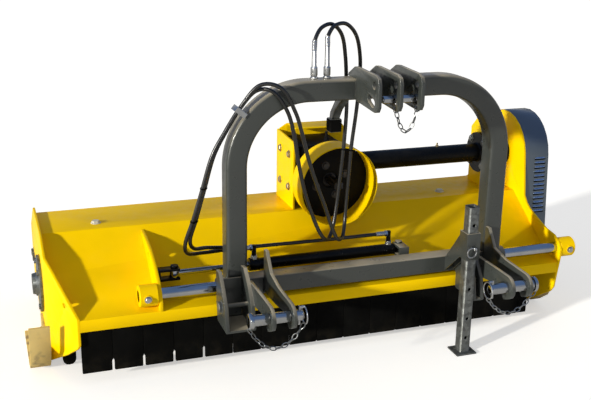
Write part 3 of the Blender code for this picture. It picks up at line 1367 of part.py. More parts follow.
HOSE_A = [
    (-0.019, 0.031, 1.090), (0.004, 0.040, 1.122), (0.047, 0.056, 1.130), (0.088, 0.074, 1.092),
    (0.108, 0.088, 1.020), (0.116, 0.092, 0.930), (0.120, 0.093, 0.841), (0.114, 0.094, 0.714),
    (0.104, 0.096, 0.600), (0.094, 0.094, 0.505), (0.076, 0.080, 0.430), (0.045, 0.046, 0.404),
    (0.006, 0.010, 0.440), (-0.030, -0.006, 0.512), (-0.062, -0.014, 0.600), (-0.086, -0.018, 0.699),
    (-0.103, -0.022, 0.789), (-0.128, -0.024, 0.872), (-0.174, -0.017, 0.936), (-0.220, 0.012, 0.936),
    (-0.268, 0.020, 0.884), (-0.314, 0.022, 0.812), (-0.356, 0.022, 0.733), (-0.388, 0.026, 0.620),
    (-0.414, 0.034, 0.523), (-0.432, 0.046, 0.452), (-0.414, 0.070, 0.412), (-0.366, 0.092, 0.402),
    (-0.300, 0.106, 0.390), (-0.256, 0.111, 0.380),
]
HOSE_B = [
    (0.024, 0.031, 1.098), (0.049, 0.041, 1.127), (0.095, 0.056, 1.130), (0.138, 0.074, 1.090),
    (0.160, 0.088, 1.020), (0.163, 0.092, 0.940), (0.156, 0.093, 0.839), (0.142, 0.094, 0.711),
    (0.136, 0.096, 0.600), (0.131, 0.097, 0.510), (0.124, 0.088, 0.446), (0.105, 0.058, 0.405),
    (0.072, 0.022, 0.412), (0.040, 0.000, 0.468), (0.010, -0.010, 0.545), (-0.022, -0.014, 0.625), (-0.052, -0.018, 0.709),
    (-0.077, -0.022, 0.796), (-0.106, -0.036, 0.872), (-0.154, -0.040, 0.950), (-0.216, -0.012, 0.957),
    (-0.272, 0.004, 0.890), (-0.322, 0.006, 0.814), (-0.366, 0.007, 0.735), (-0.400, 0.012, 0.620),
    (-0.428, 0.020, 0.523), (-0.450, 0.036, 0.446), (-0.436, 0.068, 0.398), (-0.378, 0.106, 0.380),
    (-0.300, 0.126, 0.374), (-0.200, 0.134, 0.372), (-0.100, 0.132, 0.372), (0.040, 0.128, 0.372),
    (0.150, 0.122, 0.374), (0.225, 0.115, 0.377),
]
COUPLING_A = (-0.022, BAR_Y, ARCH_TOP + 0.090)
COUPLING_B = (0.022, BAR_Y, ARCH_TOP + 0.101)


def hose(name, top, route, end, head):
    """Rubber hose: a round tube on a smooth curve through its route, with a
    straight stretch out of its coupling and one into its elbow."""
    curve = bpy.data.curves.new(name, "CURVE")
    curve.dimensions = "3D"
    curve.bevel_depth = HOSE_D / 2
    curve.bevel_resolution = 2
    curve.use_fill_caps = True
    spline = curve.splines.new("POLY")
    leave = (top[0], top[1], top[2] + HOSE_D)
    arrive = (end[0] - HOSE_D, end[1], end[2])
    spots = [Vector(top), *smooth_route([leave] + route + [arrive], 3 * HOSE_D), Vector(end)]
    spline.points.add(len(spots) - 1)
    origin = world_of(head)
    for point, spot in zip(spline.points, spots):
        point.co = (*(spot - origin), 1.0)
    curve.materials.append(material(name + "_finish", RUBBER, 0.5, 0.0))
    obj = bpy.data.objects.new(name, curve)
    bpy.context.scene.collection.objects.link(obj)
    obj.parent = head


def coupling(name, top, head):
    """Quick coupling parked upright on the arch."""
    x, y, end = top
    base = ARCH_TOP + SEAT
    mesh = turned("Z", (x, y), [
        (base, 0), (base, 0.013), (base + 0.006, 0.013), (base + 0.006, 0.009),
        (base + 0.012, 0.012), (base + 0.036, 0.012), (base + 0.038, 0.009), (end - SEAT, 0.008),
        (end - SEAT, 0)], 10)
    place(name, mesh, (CHROME, 0.3, 1.0), head)


# Assembly

def top_link_pin(holder):
    """Pin through the middle and the right top link plate, with a turned
    head; the left pair of plates is the free one."""
    left = HEAD_X - TOP_PLATE / 2 - 0.034
    right = HEAD_X + TOP_PLATE_PITCH + TOP_PLATE / 2 + SLIDE
    spot = (TOP_PIN_Y, TOP_PIN_Z)
    pin = turned("X", spot, [(left, 0), (left, TOP_PIN_R - 0.003), (left + 0.003, TOP_PIN_R),
                 (right, TOP_PIN_R), (right, TOP_PIN_R + 0.009), (right + 0.010, TOP_PIN_R + 0.009),
                 (right + 0.014, TOP_PIN_R + 0.005), (right + 0.014, 0)], 16)
    place("top_link_pin", pin, (CHROME, 0.25, 1.0), holder)


def linkage_pins(head):
    """Lower and upper linkage pins, each on a body of its own."""
    spot = (HITCH_PIN_Y, HITCH_PIN_Z)
    for side in ("left", "right"):
        outer, inner = hitch_places(side)[:2]
        if side == "left":
            end = inner + HITCH_PLATE + LYNCH_CLEAR + LYNCH_INSET
            reach = -HITCH_PIN_LENGTH
        else:
            end = inner + HITCH_PLATE + LYNCH_CLEAR - HITCH_PIN_LENGTH
            reach = HITCH_PIN_LENGTH
        way = math.copysign(1, reach)
        lynch_x = end + way * LYNCH_INSET
        pin = empty(side + "_pin", (inner, *spot), head)
        linkage_pin(pin, side + "_hitch_pin", end, reach, spot)
        lynch_pin(empty(side + "_lynch", (lynch_x, *spot), pin), side + "_lynch_pin", lynch_x,
                  end - way * (LYNCH_WIRE / 2 + 0.002), spot)
    top_link_pin(empty("top_pin", (HEAD_X, TOP_PIN_Y, TOP_PIN_Z), head))


def hose_clamp(head):
    """Stirrup over the two hoses on one flat of the arch's left shoulder."""
    foot = ARCH_BEND * math.cos(math.radians(45 / ARCH_BEND_STEPS)) + ARCH_TUBE / 2 + SEAT
    top = foot + CLAMP_HEIGHT
    near, far = CLAMP_SPAN
    wall = CLAMP_WALL
    outline = [(near - wall, foot), (near, foot), (near, top - wall), (far, top - wall), (far, foot),
               (far + wall, foot), (far + wall, top), (near - wall, top)]
    mesh = prism("X", outline, -CLAMP_WIDTH / 2, CLAMP_WIDTH / 2)
    mesh.transform(Matrix.Rotation(math.radians(90 - CLAMP_ANGLE), 4, "Y"))
    centre = (LEFT_LEG_X + ARCH_BEND, 0, ARCH_TOP - ARCH_TUBE / 2 - ARCH_BEND)
    mesh.transform(Matrix.Translation(centre))
    place("hose_clamp", mesh, (STEEL, 0.4, 0.8), head)


def build():
    """Make every body's empty, then its pieces."""
    for old in list(bpy.data.objects):
        bpy.data.objects.remove(old)
    deck = empty("deck", (0, 0, 0))
    head = empty("headstock", (HEAD_X, BAR_Y, BAR_Z), deck)
    spin = empty("rotor", (0, ROTOR_Y, ROTOR_Z), deck)

    deck_hood(deck)
    left_end_plate(deck)
    right_end_plate(deck)
    skids(deck)
    flap_clamp(deck)
    rubber_flaps(empty("flap_row", (0, FLAP_Y, FLAP_HINGE_Z), deck))
    rotor_bearings(deck)
    rotor(spin)
    place("lower_pulley", pulley((ROTOR_Y, ROTOR_Z), LOWER_PULLEY_R, ROTOR_SHAFT_R),
          (STEEL, 0.5, 0.7), spin)
    for row, name, way in ((0, "front_hammers", -1), (1, "rear_hammers", 1)):
        pivot = empty(name + "_pivot", (0, ROTOR_Y + way * HAMMER_PIVOT_R, ROTOR_Z), spin)
        hammers(pivot, row, name)
    roller(empty("roller", (0, ROLLER_Y, ROLLER_R), deck))
    slide_bar(deck)
    cylinder_rod(deck)
    gearbox(deck)
    gearbox_brackets(deck)
    drive_bearings(deck)
    input_shaft(empty("input", (GEARBOX_X, GEARBOX_Y, GEARBOX_Z), deck))
    cross_shaft(empty("cross_drive", (GEARBOX_X, GEARBOX_Y, GEARBOX_Z), deck))
    drive_tube(deck)
    tube_support(deck)
    pto_guard(deck)
    belts(deck)
    belt_case(deck)

    arch(head)
    sleeve(head)
    top_bracket(head)
    shaft_holder(head)
    for side in ("left", "right"):
        lower_hitch(head, side)
    linkage_pins(head)
    cylinder_mounts(deck, head)
    cylinder_barrel(head)
    stand_sleeve(head)
    stand(empty("stand", (STAND_X, STAND_Y, 0), head))
    stand_pin(empty("stand_lock", (STAND_X, STAND_Y, STAND_PIN_Z), head))
    hose_clamp(head)
    for name, top, route, port_x in (
            ("a", COUPLING_A, HOSE_A, port_left_x()), ("b", COUPLING_B, HOSE_B, port_right_x())):
        coupling("coupling_" + name, top, head)
        hose("hose_" + name, top, route, hose_end(port_x), head)
    centre_footprint(deck)


def centre_footprint(deck):
    """Move the root so that the origin is the middle of the footprint."""
    bpy.context.view_layer.update()
    corners = [obj.matrix_world @ Vector(corner) for obj in bpy.data.objects
               if obj.type == "MESH" for corner in obj.bound_box]
    middle = [(min(p[i] for p in corners) + max(p[i] for p in corners)) / 2 for i in (0, 1)]
    deck.location = (-middle[0], -middle[1], 0)


build()
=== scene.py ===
"""Side-shifting flail mower: pieces, finishes, light and camera.

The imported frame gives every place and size. Each operator makes one group of
pieces in the frame's own metres: +X along the machine to the right, -Y
towards the tractor, +Z up from the ground.
"""

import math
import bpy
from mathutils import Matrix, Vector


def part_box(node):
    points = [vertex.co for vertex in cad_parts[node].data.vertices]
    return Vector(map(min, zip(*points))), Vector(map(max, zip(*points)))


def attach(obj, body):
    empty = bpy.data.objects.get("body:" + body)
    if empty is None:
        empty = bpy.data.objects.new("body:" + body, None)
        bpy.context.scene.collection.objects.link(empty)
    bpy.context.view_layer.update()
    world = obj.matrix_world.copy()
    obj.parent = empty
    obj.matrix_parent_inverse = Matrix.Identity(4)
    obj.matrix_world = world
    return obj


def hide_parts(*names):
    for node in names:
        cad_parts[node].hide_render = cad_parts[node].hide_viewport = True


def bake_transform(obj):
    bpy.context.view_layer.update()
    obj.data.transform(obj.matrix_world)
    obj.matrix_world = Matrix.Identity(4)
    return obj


bl_info = {
    "name": "Flail Mower",
    "version": (1, 0, 0),
    "blender": (4, 5, 0),
    "location": "View3D > Sidebar > Mower",
    "description": "Builds a side-shifting flail mower on its frame, with its stage",
    "category": "Object",
}

import bmesh
import bpy
import numpy as np
from mathutils import Matrix, Vector

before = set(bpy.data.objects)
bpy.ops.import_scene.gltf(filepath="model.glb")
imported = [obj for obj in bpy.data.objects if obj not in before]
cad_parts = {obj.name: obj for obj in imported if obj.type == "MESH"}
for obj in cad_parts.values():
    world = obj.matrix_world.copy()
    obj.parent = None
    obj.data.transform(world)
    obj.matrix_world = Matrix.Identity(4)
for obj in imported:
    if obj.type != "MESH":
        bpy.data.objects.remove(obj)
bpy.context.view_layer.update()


# Places read from the frame

def span(node):
    """Lowest and highest corner of a frame node."""
    return [np.array(corner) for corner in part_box(node)]


def middle(node):
    """Centre of a frame node's box."""
    a, b = span(node)
    return (a + b) / 2


def half(node, axis):
    """Half a frame node's width along an axis."""
    a, b = span(node)
    return (b[axis] - a[axis]) / 2


BAR = middle("slide_bar")
BAR_R = half("slide_bar", 2)
ORIGIN = np.array((0.0540, 0.25258, 0.0))


def placed(x, y, z):
    """Point of the machine's drawing as a point of the frame."""
    return np.array((x, y, z), float) - ORIGIN


# Settings

class MowerPaintSettings(bpy.types.PropertyGroup):
    """Colours of the machine's finishes."""

    yellow: bpy.props.FloatVectorProperty(
        name="Yellow", description="Gloss paint of the deck, guard and plates",
        subtype="COLOR", size=3, default=(0.930, 0.610, 0.000), min=0, max=1)
    headstock: bpy.props.FloatVectorProperty(
        name="Headstock grey", description="Satin paint of the arch and hooks",
        subtype="COLOR", size=3, default=(0.038, 0.043, 0.040), min=0, max=1)
    # Skid ochre: a yellow made darker and duller, partly the skids' worn paint and dirt, partly painted shade
    # on their faces.
    skid: bpy.props.FloatVectorProperty(
        name="Skid ochre", description="Dull worn paint of the skids, darkened as painted shade",
        subtype="COLOR", size=3, default=(0.520, 0.390, 0.150), min=0, max=1)
    # Bluish grey: the belt case's grey paint with blue added, which is a painted sky reflection.
    cover: bpy.props.FloatVectorProperty(
        name="Cover grey with painted sky blue", description="Gloss paint of the belt case",
        subtype="COLOR", size=3, default=(0.120, 0.150, 0.190), min=0, max=1)
    rubber: bpy.props.FloatVectorProperty(
        name="Rubber", description="Flaps, belt, hose ties and rubber trim",
        subtype="COLOR", size=3, default=(0.0028, 0.0028, 0.0026), min=0, max=1)
    dust: bpy.props.FloatProperty(
        name="Dust", description="How much of its own dust each paint carries",
        subtype="FACTOR", default=1.0, min=0, max=2)


class MowerDetailSettings(bpy.types.PropertyGroup):
    """Sizes of the small pieces."""

    edge: bpy.props.FloatProperty(
        name="Edge", description="Rounding of cut steel edges",
        unit="LENGTH", default=0.0012, min=0.0002, max=0.004)
    hose: bpy.props.FloatProperty(
        name="Hose diameter", description="Outer diameter of the two hoses",
        unit="LENGTH", default=0.013, min=0.008, max=0.020)
    link: bpy.props.FloatProperty(
        name="Chain link", description="Length of one link of the retaining chains",
        unit="LENGTH", default=0.027, min=0.010, max=0.040)
    curl: bpy.props.FloatProperty(
        name="Flap curl", description="How far a rubber flap bows at its middle",
        unit="LENGTH", default=0.0010, min=0, max=0.003)


class MowerStageSettings(bpy.types.PropertyGroup):
    """Light and camera."""

    key: bpy.props.FloatProperty(
        name="Key", description="Strength of the low key light from the left",
        default=4.0, min=0, max=20)
    sky: bpy.props.FloatProperty(
        name="Sky", description="Strength of the light from all round",
        default=0.34, min=0, max=5)
    lens: bpy.props.FloatProperty(
        name="Lens", description="Focal length on a 36 mm wide sensor",
        unit="CAMERA", default=56.41, min=10, max=200)


# Faces and paths

def grid(rows, columns, wrap_rows=False, wrap_columns=False):
    """Quads of a grid whose point (i, j) has number i * columns + j."""
    i = np.arange(rows if wrap_rows else rows - 1)[:, None]
    j = np.arange(columns if wrap_columns else columns - 1)[None, :]
    i2 = (i + 1) % rows
    j2 = (j + 1) % columns
    quads = (i * columns + j, i * columns + j2, i2 * columns + j2, i2 * columns + j)
    return np.stack(np.broadcast_arrays(*quads), -1).reshape(-1, 4)


def closed(rows, columns):
    """Faces of a grid that is closed round its columns and at both ends."""
    faces = [tuple(face) for face in grid(rows, columns, False, True)]
    last = (rows - 1) * columns
    return faces + [tuple(range(columns)), tuple(range(last, last + columns))]


def many(blocks):
    """Several (points, faces) pairs as one."""
    points = []
    faces = []
    start = 0
    for block_points, block_faces in blocks:
        points.append(np.asarray(block_points, float).reshape(-1, 3))
        faces += [tuple(int(v) + start for v in face) for face in block_faces]
        start += len(points[-1])
    return np.concatenate(points), faces


def circle(sides, turn=0.0):
    """Points (cos a, sin a) of the unit circle, the first at a = turn."""
    angle = turn + np.arange(sides) * 2 * math.pi / sides
    return np.stack([np.cos(angle), np.sin(angle)], -1)


def round_about(centre, radius, count, first):
    """Places on a circle, the first at an angle in degrees."""
    return np.array(centre) + radius * circle(count, math.radians(first))


def distances(path):
    """Distance of each point of a path from its start."""
    return np.concatenate([[0], np.cumsum(np.linalg.norm(np.diff(path, axis=0), axis=1))])


def points_at(path, places):
    """Points that lie at these distances along a path."""
    along = distances(path)
    return np.stack([np.interp(places, along, path[:, k]) for k in range(3)], -1)


def smooth_curve(points, spacing):
    """Catmull-Rom curve through the points, read at even steps."""
    knots = np.asarray(points, float)
    knots = np.concatenate([[2 * knots[0] - knots[1]], knots, [2 * knots[-1] - knots[-2]]])
    t = np.linspace(0, 1, 24, endpoint=False)[:, None, None]
    a, b, c, d = knots[:-3], knots[1:-2], knots[2:-1], knots[3:]
    fine = 0.5 * (2 * b + (c - a) * t + (2 * a - 5 * b + 4 * c - d) * t ** 2
                  + (3 * b - a - 3 * c + d) * t ** 3)
    fine = np.concatenate([fine.transpose(1, 0, 2).reshape(-1, 3), knots[-2:-1]])
    length = distances(fine)[-1]
    return points_at(fine, np.linspace(0, length, max(4, round(length / spacing)) + 1))


def bend(centre, radius, first, last, steps):
    """Points of an arc in the X-Z plane, angles in degrees from +X."""
    angle = np.radians(np.linspace(first, last, steps + 1))
    points = np.empty((steps + 1, 3))
    points[:, 0] = centre[0] + radius * np.cos(angle)
    points[:, 1] = centre[1]
    points[:, 2] = centre[2] + radius * np.sin(angle)
    return points


def frames(path, side):
    """Unit tangents of a path, and two directions square to them, the
    first turned as far as it goes towards side."""
    tangent = np.gradient(path, axis=0)
    tangent /= np.linalg.norm(tangent, axis=1, keepdims=True)
    side = np.asarray(side, float)
    first = side - tangent * (tangent @ side)[:, None]
    first /= np.linalg.norm(first, axis=1, keepdims=True)
    return tangent, first, np.cross(tangent, first)


# Shapes

AXES = {"X": (1, 2, 0), "Y": (0, 2, 1), "Z": (0, 1, 2)}


def turned(axis, centre, profile, sides=48, turn=0.0):
    """Profile of (place along the axis, radius) turned round the axis:
    point (k, a) = centre + radius k * (cos a, sin a), at place k."""
    u, v, w = AXES[axis]
    profile = np.asarray(profile, float)
    way = circle(sides, turn)
    points = np.empty((len(profile), sides, 3))
    points[..., u] = centre[u] + profile[:, 1:] * way[:, 0]
    points[..., v] = centre[v] + profile[:, 1:] * way[:, 1]
    points[..., w] = profile[:, :1]
    return points.reshape(-1, 3), grid(len(profile), sides, False, True)


def moved(profile, place, way=1):
    """Profile that starts from a place on its axis; with way = -1 it points
    the other way."""
    return [(place + way * rise, radius) for rise, radius in profile]


def ring(axis, centre, place, radius, wire, sides=24, around=8):
    """Round ring: a small circle of the wire's radius turned round the axis."""
    angle = np.linspace(0, 2 * math.pi, around + 1)
    profile = np.stack([place + wire * np.cos(angle), radius + wire * np.sin(angle)], -1)
    return turned(axis, centre, profile, sides)


def swept(path, section, side=(0, 1, 0), scale=1.0, caps=True):
    """Section of (along first, along second) points carried along a path:
    point (i, k) = path i + scale i * (a k * first i + b k * second i)."""
    path = np.asarray(path, float)
    _, first, second = frames(path, side)
    section = np.broadcast_to(scale, len(path))[:, None, None] * np.asarray(section, float)
    points = path[:, None] + section[..., :1] * first[:, None] + section[..., 1:] * second[:, None]
    rows, columns = points.shape[:2]
    faces = closed(rows, columns) if caps else grid(rows, columns, False, True)
    return points.reshape(-1, 3), faces


def soft_square(width, depth, corner, steps=6):
    """Rectangle section with round corners, about its centre."""
    angle = np.radians(np.linspace(0, 90, steps + 1))
    arcs = []
    for k, (a, b) in enumerate(((1, 1), (-1, 1), (-1, -1), (1, -1))):
        turn = angle + k * math.pi / 2
        arcs.append(np.stack([a * (width / 2 - corner) + corner * np.cos(turn),
                              b * (depth / 2 - corner) + corner * np.sin(turn)], -1))
    return np.concatenate(arcs)


def bead(start, end, radius=0.0026, ripple=0.005, taper=0.003):
    """Weld bead between two points: the radius r swells and shrinks as
    r (1 + 0.15 cos(2 pi s / ripple)) and closes at both ends."""
    length = np.linalg.norm(end - start)
    share = np.linspace(0, 1, max(6, round(length / 0.0012)) + 1)
    radii = radius * (1 + 0.15 * np.cos(share * length / ripple * 2 * math.pi))
    radii *= np.clip(np.minimum(share, 1 - share) * length / taper, 0, 1) ** 0.5
    side = (0, 1, 0) if abs((end - start)[1]) < 0.8 * length else (1, 0, 0)
    return swept(start + share[:, None] * (end - start), circle(8), side, radii, False)


def bolts(axis, centres, face, size, towards):
    """Hexagon heads with washers that stand on a face; size is half their
    width. Each head is turned a little from the one before."""
    u, v, _ = AXES[axis]
    corner = size * 1.18
    tall = size * 0.75
    rim = size * 1.5
    thick = 0.0015
    sunk = -0.0005
    head = [(0, 0), (0, corner), (tall * 0.85, corner), (tall, corner * 0.88), (tall, 0)]
    flat = [(sunk, 0), (sunk, rim), (thick * 0.7, rim), (thick, rim - 0.0006), (thick, 0)]
    shapes = []
    for number, (a, b) in enumerate(centres):
        centre = np.zeros(3)
        centre[u] = a
        centre[v] = b
        for profile, sides, turn in ((head, 6, number * 0.4), (flat, 24, 0)):
            shapes.append(turned(axis, centre, moved(profile, face, towards), sides, turn))
    return shapes


def rounded_box(a, b, radius):
    """Box from corner a to corner b whose upright edges are round and whose
    rims are softened."""
    size = b - a
    soft = radius * 0.5
    rows = []
    for inset, z in ((soft, a[2]), (0, a[2] + soft), (0, b[2] - soft), (soft, b[2])):
        corner = max(radius - inset, radius * 0.3)
        outline = soft_square(size[0] - 2 * inset, size[1] - 2 * inset, corner, 4)
        rows.append(np.insert(outline + (a[:2] + b[:2]) / 2, 2, z, axis=1))
    return np.concatenate(rows), closed(len(rows), len(rows[0]))


def chain(start, end, sag, link, wire, sides=14, around=6):
    """Oval links along a hanging curve, p(u) = start + (end - start) u
    - 4 sag u (1 - u) up, each turned a quarter from the one before."""
    u = np.linspace(0, 1, 200)[:, None]
    curve = start + (end - start) * u - np.array((0, 0, 4 * sag)) * u * (1 - u)
    length = distances(curve)[-1]
    count = max(2, round(length / (link - 4 * wire)))
    centre = points_at(curve, (np.arange(count) + 0.5) / count * length)
    way, first, second = frames(centre, (0, 1, 0))
    turn = np.where(np.arange(count) % 2, 0.25, 0.75)[:, None] * math.pi
    across = first * np.cos(turn) + second * np.sin(turn)
    out = np.cross(way, across)[:, None, None]
    half_length = link / 2 - wire
    half_width = link * 0.30 - wire
    oval = circle(sides) * (half_length, half_width)
    flat = circle(sides) * (half_width, half_length)
    flat /= np.linalg.norm(flat, axis=1, keepdims=True)
    spine = centre[:, None] + way[:, None] * oval[:, :1] + across[:, None] * oval[:, 1:]
    normal = (way[:, None] * flat[:, :1] + across[:, None] * flat[:, 1:])[:, :, None]
    w = circle(around)
    points = spine[:, :, None] + wire * (normal * w[:, :1] + out * w[:, 1:])
    faces = grid(sides, around, True, True)[None] + np.arange(count)[:, None, None] * sides * around
    return points.reshape(-1, 3), faces.reshape(-1, 4)


def strap(a, b, way, radius, width, thick):
    """Band round two round bars whose middles are a and b; way runs along
    the bars."""
    way = way / np.linalg.norm(way)
    across = b - a
    across = across - way * (across @ way)
    across /= np.linalg.norm(across)
    up = np.cross(way, across)
    rows = []
    for place, reach in ((-width / 2, radius), (-width / 2, radius + thick),
                         (width / 2, radius + thick), (width / 2, radius)):
        for spot, first in ((b, -90), (a, 90)):
            angle = np.radians(first + np.arange(0, 181, 20))[:, None]
            rows.append(spot + way * place + reach * (np.cos(angle) * across + np.sin(angle) * up))
    return np.concatenate(rows), grid(4, 20, True, True)


# Pieces

FLAT_ANGLE = math.radians(0.5)
EDGE_ANGLE = math.radians(30)


def piece(name, shape, coat, body, nodes=(), sharp=35):
    """Object at the origin from (points, faces), riding on a body."""
    points, faces = shape
    mesh = bpy.data.meshes.new(name)
    mesh.from_pydata(np.asarray(points).tolist(), [], [tuple(map(int, f)) for f in faces])
    work = bmesh.new()
    work.from_mesh(mesh)
    bmesh.ops.remove_doubles(work, verts=work.verts, dist=1e-6)
    bmesh.ops.recalc_face_normals(work, faces=work.faces)
    work.to_mesh(mesh)
    work.free()
    return finished(name, mesh, coat, body, nodes, sharp)


def finished(name, mesh, coat, body, nodes, sharp):
    """Give a mesh its material and shading, and put it on its body, if it
    rides on one alone."""
    mesh.materials.clear()
    mesh.materials.append(finish(coat))
    mesh.shade_smooth()
    mesh.set_sharp_from_angle(angle=math.radians(sharp))
    obj = bpy.data.objects.new(name, mesh)
    bpy.context.scene.collection.objects.link(obj)
    if body:
        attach(obj, body)
    if nodes:
        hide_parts(*nodes)
    return obj


def dressed(names, coat, body, edge=None, segments=2):
    """Copy of each named node with its facets merged and its edges rounded."""
    for node in names.split():
        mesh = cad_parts[node].data.copy()
        mesh.name = node + "_rounded"
        work = bmesh.new()
        work.from_mesh(mesh)
        bmesh.ops.remove_doubles(work, verts=work.verts, dist=1e-5)
        bmesh.ops.dissolve_limit(work, angle_limit=FLAT_ANGLE, verts=work.verts, edges=work.edges)
        work.to_mesh(mesh)
        work.free()
        obj = finished(node + "_rounded", mesh, coat, body, (node,), 180)
        rounding = obj.modifiers.new("edge", "BEVEL")
        rounding.width = bpy.context.scene.mower_detail.edge if edge is None else edge
        rounding.segments = segments
        rounding.limit_method = "ANGLE"
        rounding.angle_limit = EDGE_ANGLE
        rounding.use_clamp_overlap = True
        rounding.harden_normals = True


# Shader nodes

def plug(tree, value, socket):
    """Link an output to a socket, or set the socket to a value."""
    if isinstance(value, bpy.types.NodeSocket):
        tree.links.new(value, socket)
    else:
        socket.default_value = value


def added(tree, kind, inputs):
    """New node with its inputs linked or set by name."""
    node = tree.nodes.new("ShaderNode" + kind)
    for name, value in inputs.items():
        plug(tree, value, node.inputs[name])
    return node


def noise(tree, scale, detail=4.0, stretch=(1, 1, 1)):
    """Noise on object coordinates, stretched along the axes."""
    where = added(tree, "TexCoord", {}).outputs["Object"]
    spread = added(tree, "Mapping", {"Vector": where, "Scale": stretch}).outputs["Vector"]
    return added(tree, "TexNoise", {"Vector": spread, "Scale": scale, "Detail": detail}).outputs["Fac"]


def between(tree, value, low_in, high_in, low_out=0, high_out=1):
    """Value spread from one range to another, held at its ends."""
    return added(tree, "MapRange", {"Value": value, "From Min": low_in, "From Max": high_in,
                                    "To Min": low_out, "To Max": high_out}).outputs["Result"]


def patches(tree, scale, detail, low_in, high_in, low_out=0, high_out=1):
    """Noise spread from one range to another."""
    return between(tree, noise(tree, scale, detail), low_in, high_in, low_out, high_out)


def blended(tree, share, first, second):
    """Colour that goes from first to second with share."""
    node = tree.nodes.new("ShaderNodeMix")
    node.data_type = "RGBA"
    tree.links.new(share, node.inputs["Factor"])
    for name, colour in (("A", first), ("B", second)):
        fixed = not isinstance(colour, bpy.types.NodeSocket)
        plug(tree, (*colour, 1) if fixed else colour, node.inputs[name])
    return node.outputs["Result"]


def joined(tree, first, second, operation="MULTIPLY"):
    """Two values multiplied, or joined by another operation."""
    node = tree.nodes.new("ShaderNodeMath")
    node.operation = operation
    plug(tree, first, node.inputs[0])
    plug(tree, second, node.inputs[1])
    return node.outputs["Value"]


def upright(tree, vector):
    """Z of a vector."""
    return added(tree, "SeparateXYZ", {"Vector": vector}).outputs["Z"]


def upward(tree):
    """How far the surface faces up, from 0 to 1."""
    return between(tree, upright(tree, added(tree, "NewGeometry", {}).outputs["Normal"]), 0.2, 1.0)


def lowness(tree, bottom, top):
    """1 at the bottom level and 0 at the top level."""
    where = added(tree, "TexCoord", {}).outputs["Object"]
    return between(tree, upright(tree, where), bottom, top, 1.0, 0.0)


# Finishes

OLD_DUST = (0.42, 0.38, 0.30)
DRY_DUST = (0.52, 0.46, 0.34)
MUD = (0.16, 0.12, 0.07)
GRIME = (0.11, 0.09, 0.06)


def shaded(colour, share):
    """Colour made darker or lighter."""
    return tuple(c * share for c in colour)


def new_finish(name, colour, roughness, metallic=0.0, gloss=0.5):
    """Principled material, its node tree and its shader."""
    material = bpy.data.materials.new(name)
    material.use_nodes = True
    shader = material.node_tree.nodes["Principled BSDF"]
    shader.inputs["Base Color"].default_value = (*colour, 1)
    shader.inputs["Roughness"].default_value = roughness
    shader.inputs["Metallic"].default_value = metallic
    shader.inputs["Specular IOR Level"].default_value = gloss
    return material, material.node_tree, shader


def patterned(tree, shader, colour, rough, height, strength, depth):
    """Link the shader to its colour, roughness and bump."""
    bump = added(tree, "Bump", {"Height": height, "Strength": strength, "Distance": depth})
    tree.links.new(colour, shader.inputs["Base Color"])
    if rough is not None:
        tree.links.new(rough, shader.inputs["Roughness"])
    tree.links.new(bump.outputs["Normal"], shader.inputs["Normal"])


def paint(name, colour, roughness, dust, coat=0.0, peel=0.12, tint=0.07, gloss=0.30,
          film=0.0, metallic=0.0):
    """Sprayed paint: broad tint, orange peel, dust on what faces up, a film
    of dry dust where the finish has one, and mud low down."""
    material, tree, shader = new_finish(name, colour, roughness, metallic, gloss)
    shader.inputs["Coat Weight"].default_value = coat
    shader.inputs["Coat Roughness"].default_value = 0.08
    dust *= bpy.context.scene.mower_paint.dust
    film *= bpy.context.scene.mower_paint.dust
    light = tuple(min(1.0, c * (1 + tint)) for c in colour)
    base = blended(tree, patches(tree, 2.5, 4, 0.35, 0.65), shaded(colour, 1 - tint), light)
    settled = joined(tree, upward(tree), patches(tree, 14, 8, 0.50, 0.80, 0, dust * 2))
    dusty = tuple(0.6 * c + 0.4 * d for c, d in zip(colour, OLD_DUST))
    base = blended(tree, settled, base, dusty)
    if film:
        dry = joined(tree, upward(tree), patches(tree, 9, 6, 0.30, 0.60, film * 0.5, film))
        base = blended(tree, dry, base, DRY_DUST)
    splashed = joined(tree, lowness(tree, 0.02, 0.22), patches(tree, 30, 8, 0.50, 0.72, 0, dust * 4))
    base = blended(tree, splashed, base, MUD)
    rough = patches(tree, 40, 6, 0.3, 0.7, roughness * 0.8, roughness * 1.3)
    patterned(tree, shader, base, rough, noise(tree, 260, 2), peel, 0.0004)
    return material


def bare_metal(name, colour, roughness, stretch=(1, 1, 1), scratch=0.15, spread=0.35):
    """Metal with marks drawn out along one axis and small stains."""
    material, tree, shader = new_finish(name, colour, roughness, 1.0)
    marks = noise(tree, 120, 6, stretch)
    stained = blended(tree, patches(tree, 22, 8, 0.40, 0.65), colour, shaded(colour, 1 - spread))
    rough = between(tree, marks, 0.3, 0.7, roughness * 0.7, roughness * 1.6)
    patterned(tree, shader, stained, rough, marks, scratch, 0.0003)
    return material


def zinc(name, colour, roughness):
    """Zinc coat: crystal patches of slightly unlike grey."""
    material, tree, shader = new_finish(name, colour, roughness, 0.75)
    where = added(tree, "TexCoord", {}).outputs["Object"]
    cells = added(tree, "TexVoronoi", {"Vector": where, "Scale": 90}).outputs["Color"]
    cell = added(tree, "SeparateXYZ", {"Vector": cells}).outputs
    grey = blended(tree, cell["X"], (0.105, 0.110, 0.105), (0.210, 0.220, 0.215))
    rough = between(tree, cell["Y"], 0, 1, 0.38, 0.62)
    patterned(tree, shader, grey, rough, noise(tree, 300), 0.15, 0.0003)
    return material


def rubber(name, colour, roughness, ribs=0.2, dust=0.10, gloss=0.15):
    """Rubber: fine skin, with pale dust low down."""
    material, tree, shader = new_finish(name, colour, roughness, 0.0, gloss)
    base = blended(tree, patches(tree, 9, 4, 0.35, 0.65), colour, shaded(colour, 1.8))
    dusty = joined(tree, lowness(tree, 0.03, 0.12), patches(tree, 26, 8, 0.45, 0.70, 0, dust))
    base = blended(tree, dusty, base, GRIME)
    rough = patches(tree, 60, 4, 0.3, 0.7, roughness * 0.85, min(1.0, roughness * 1.2))
    patterned(tree, shader, base, rough, noise(tree, 420, 3), ribs, 0.0004)
    return material


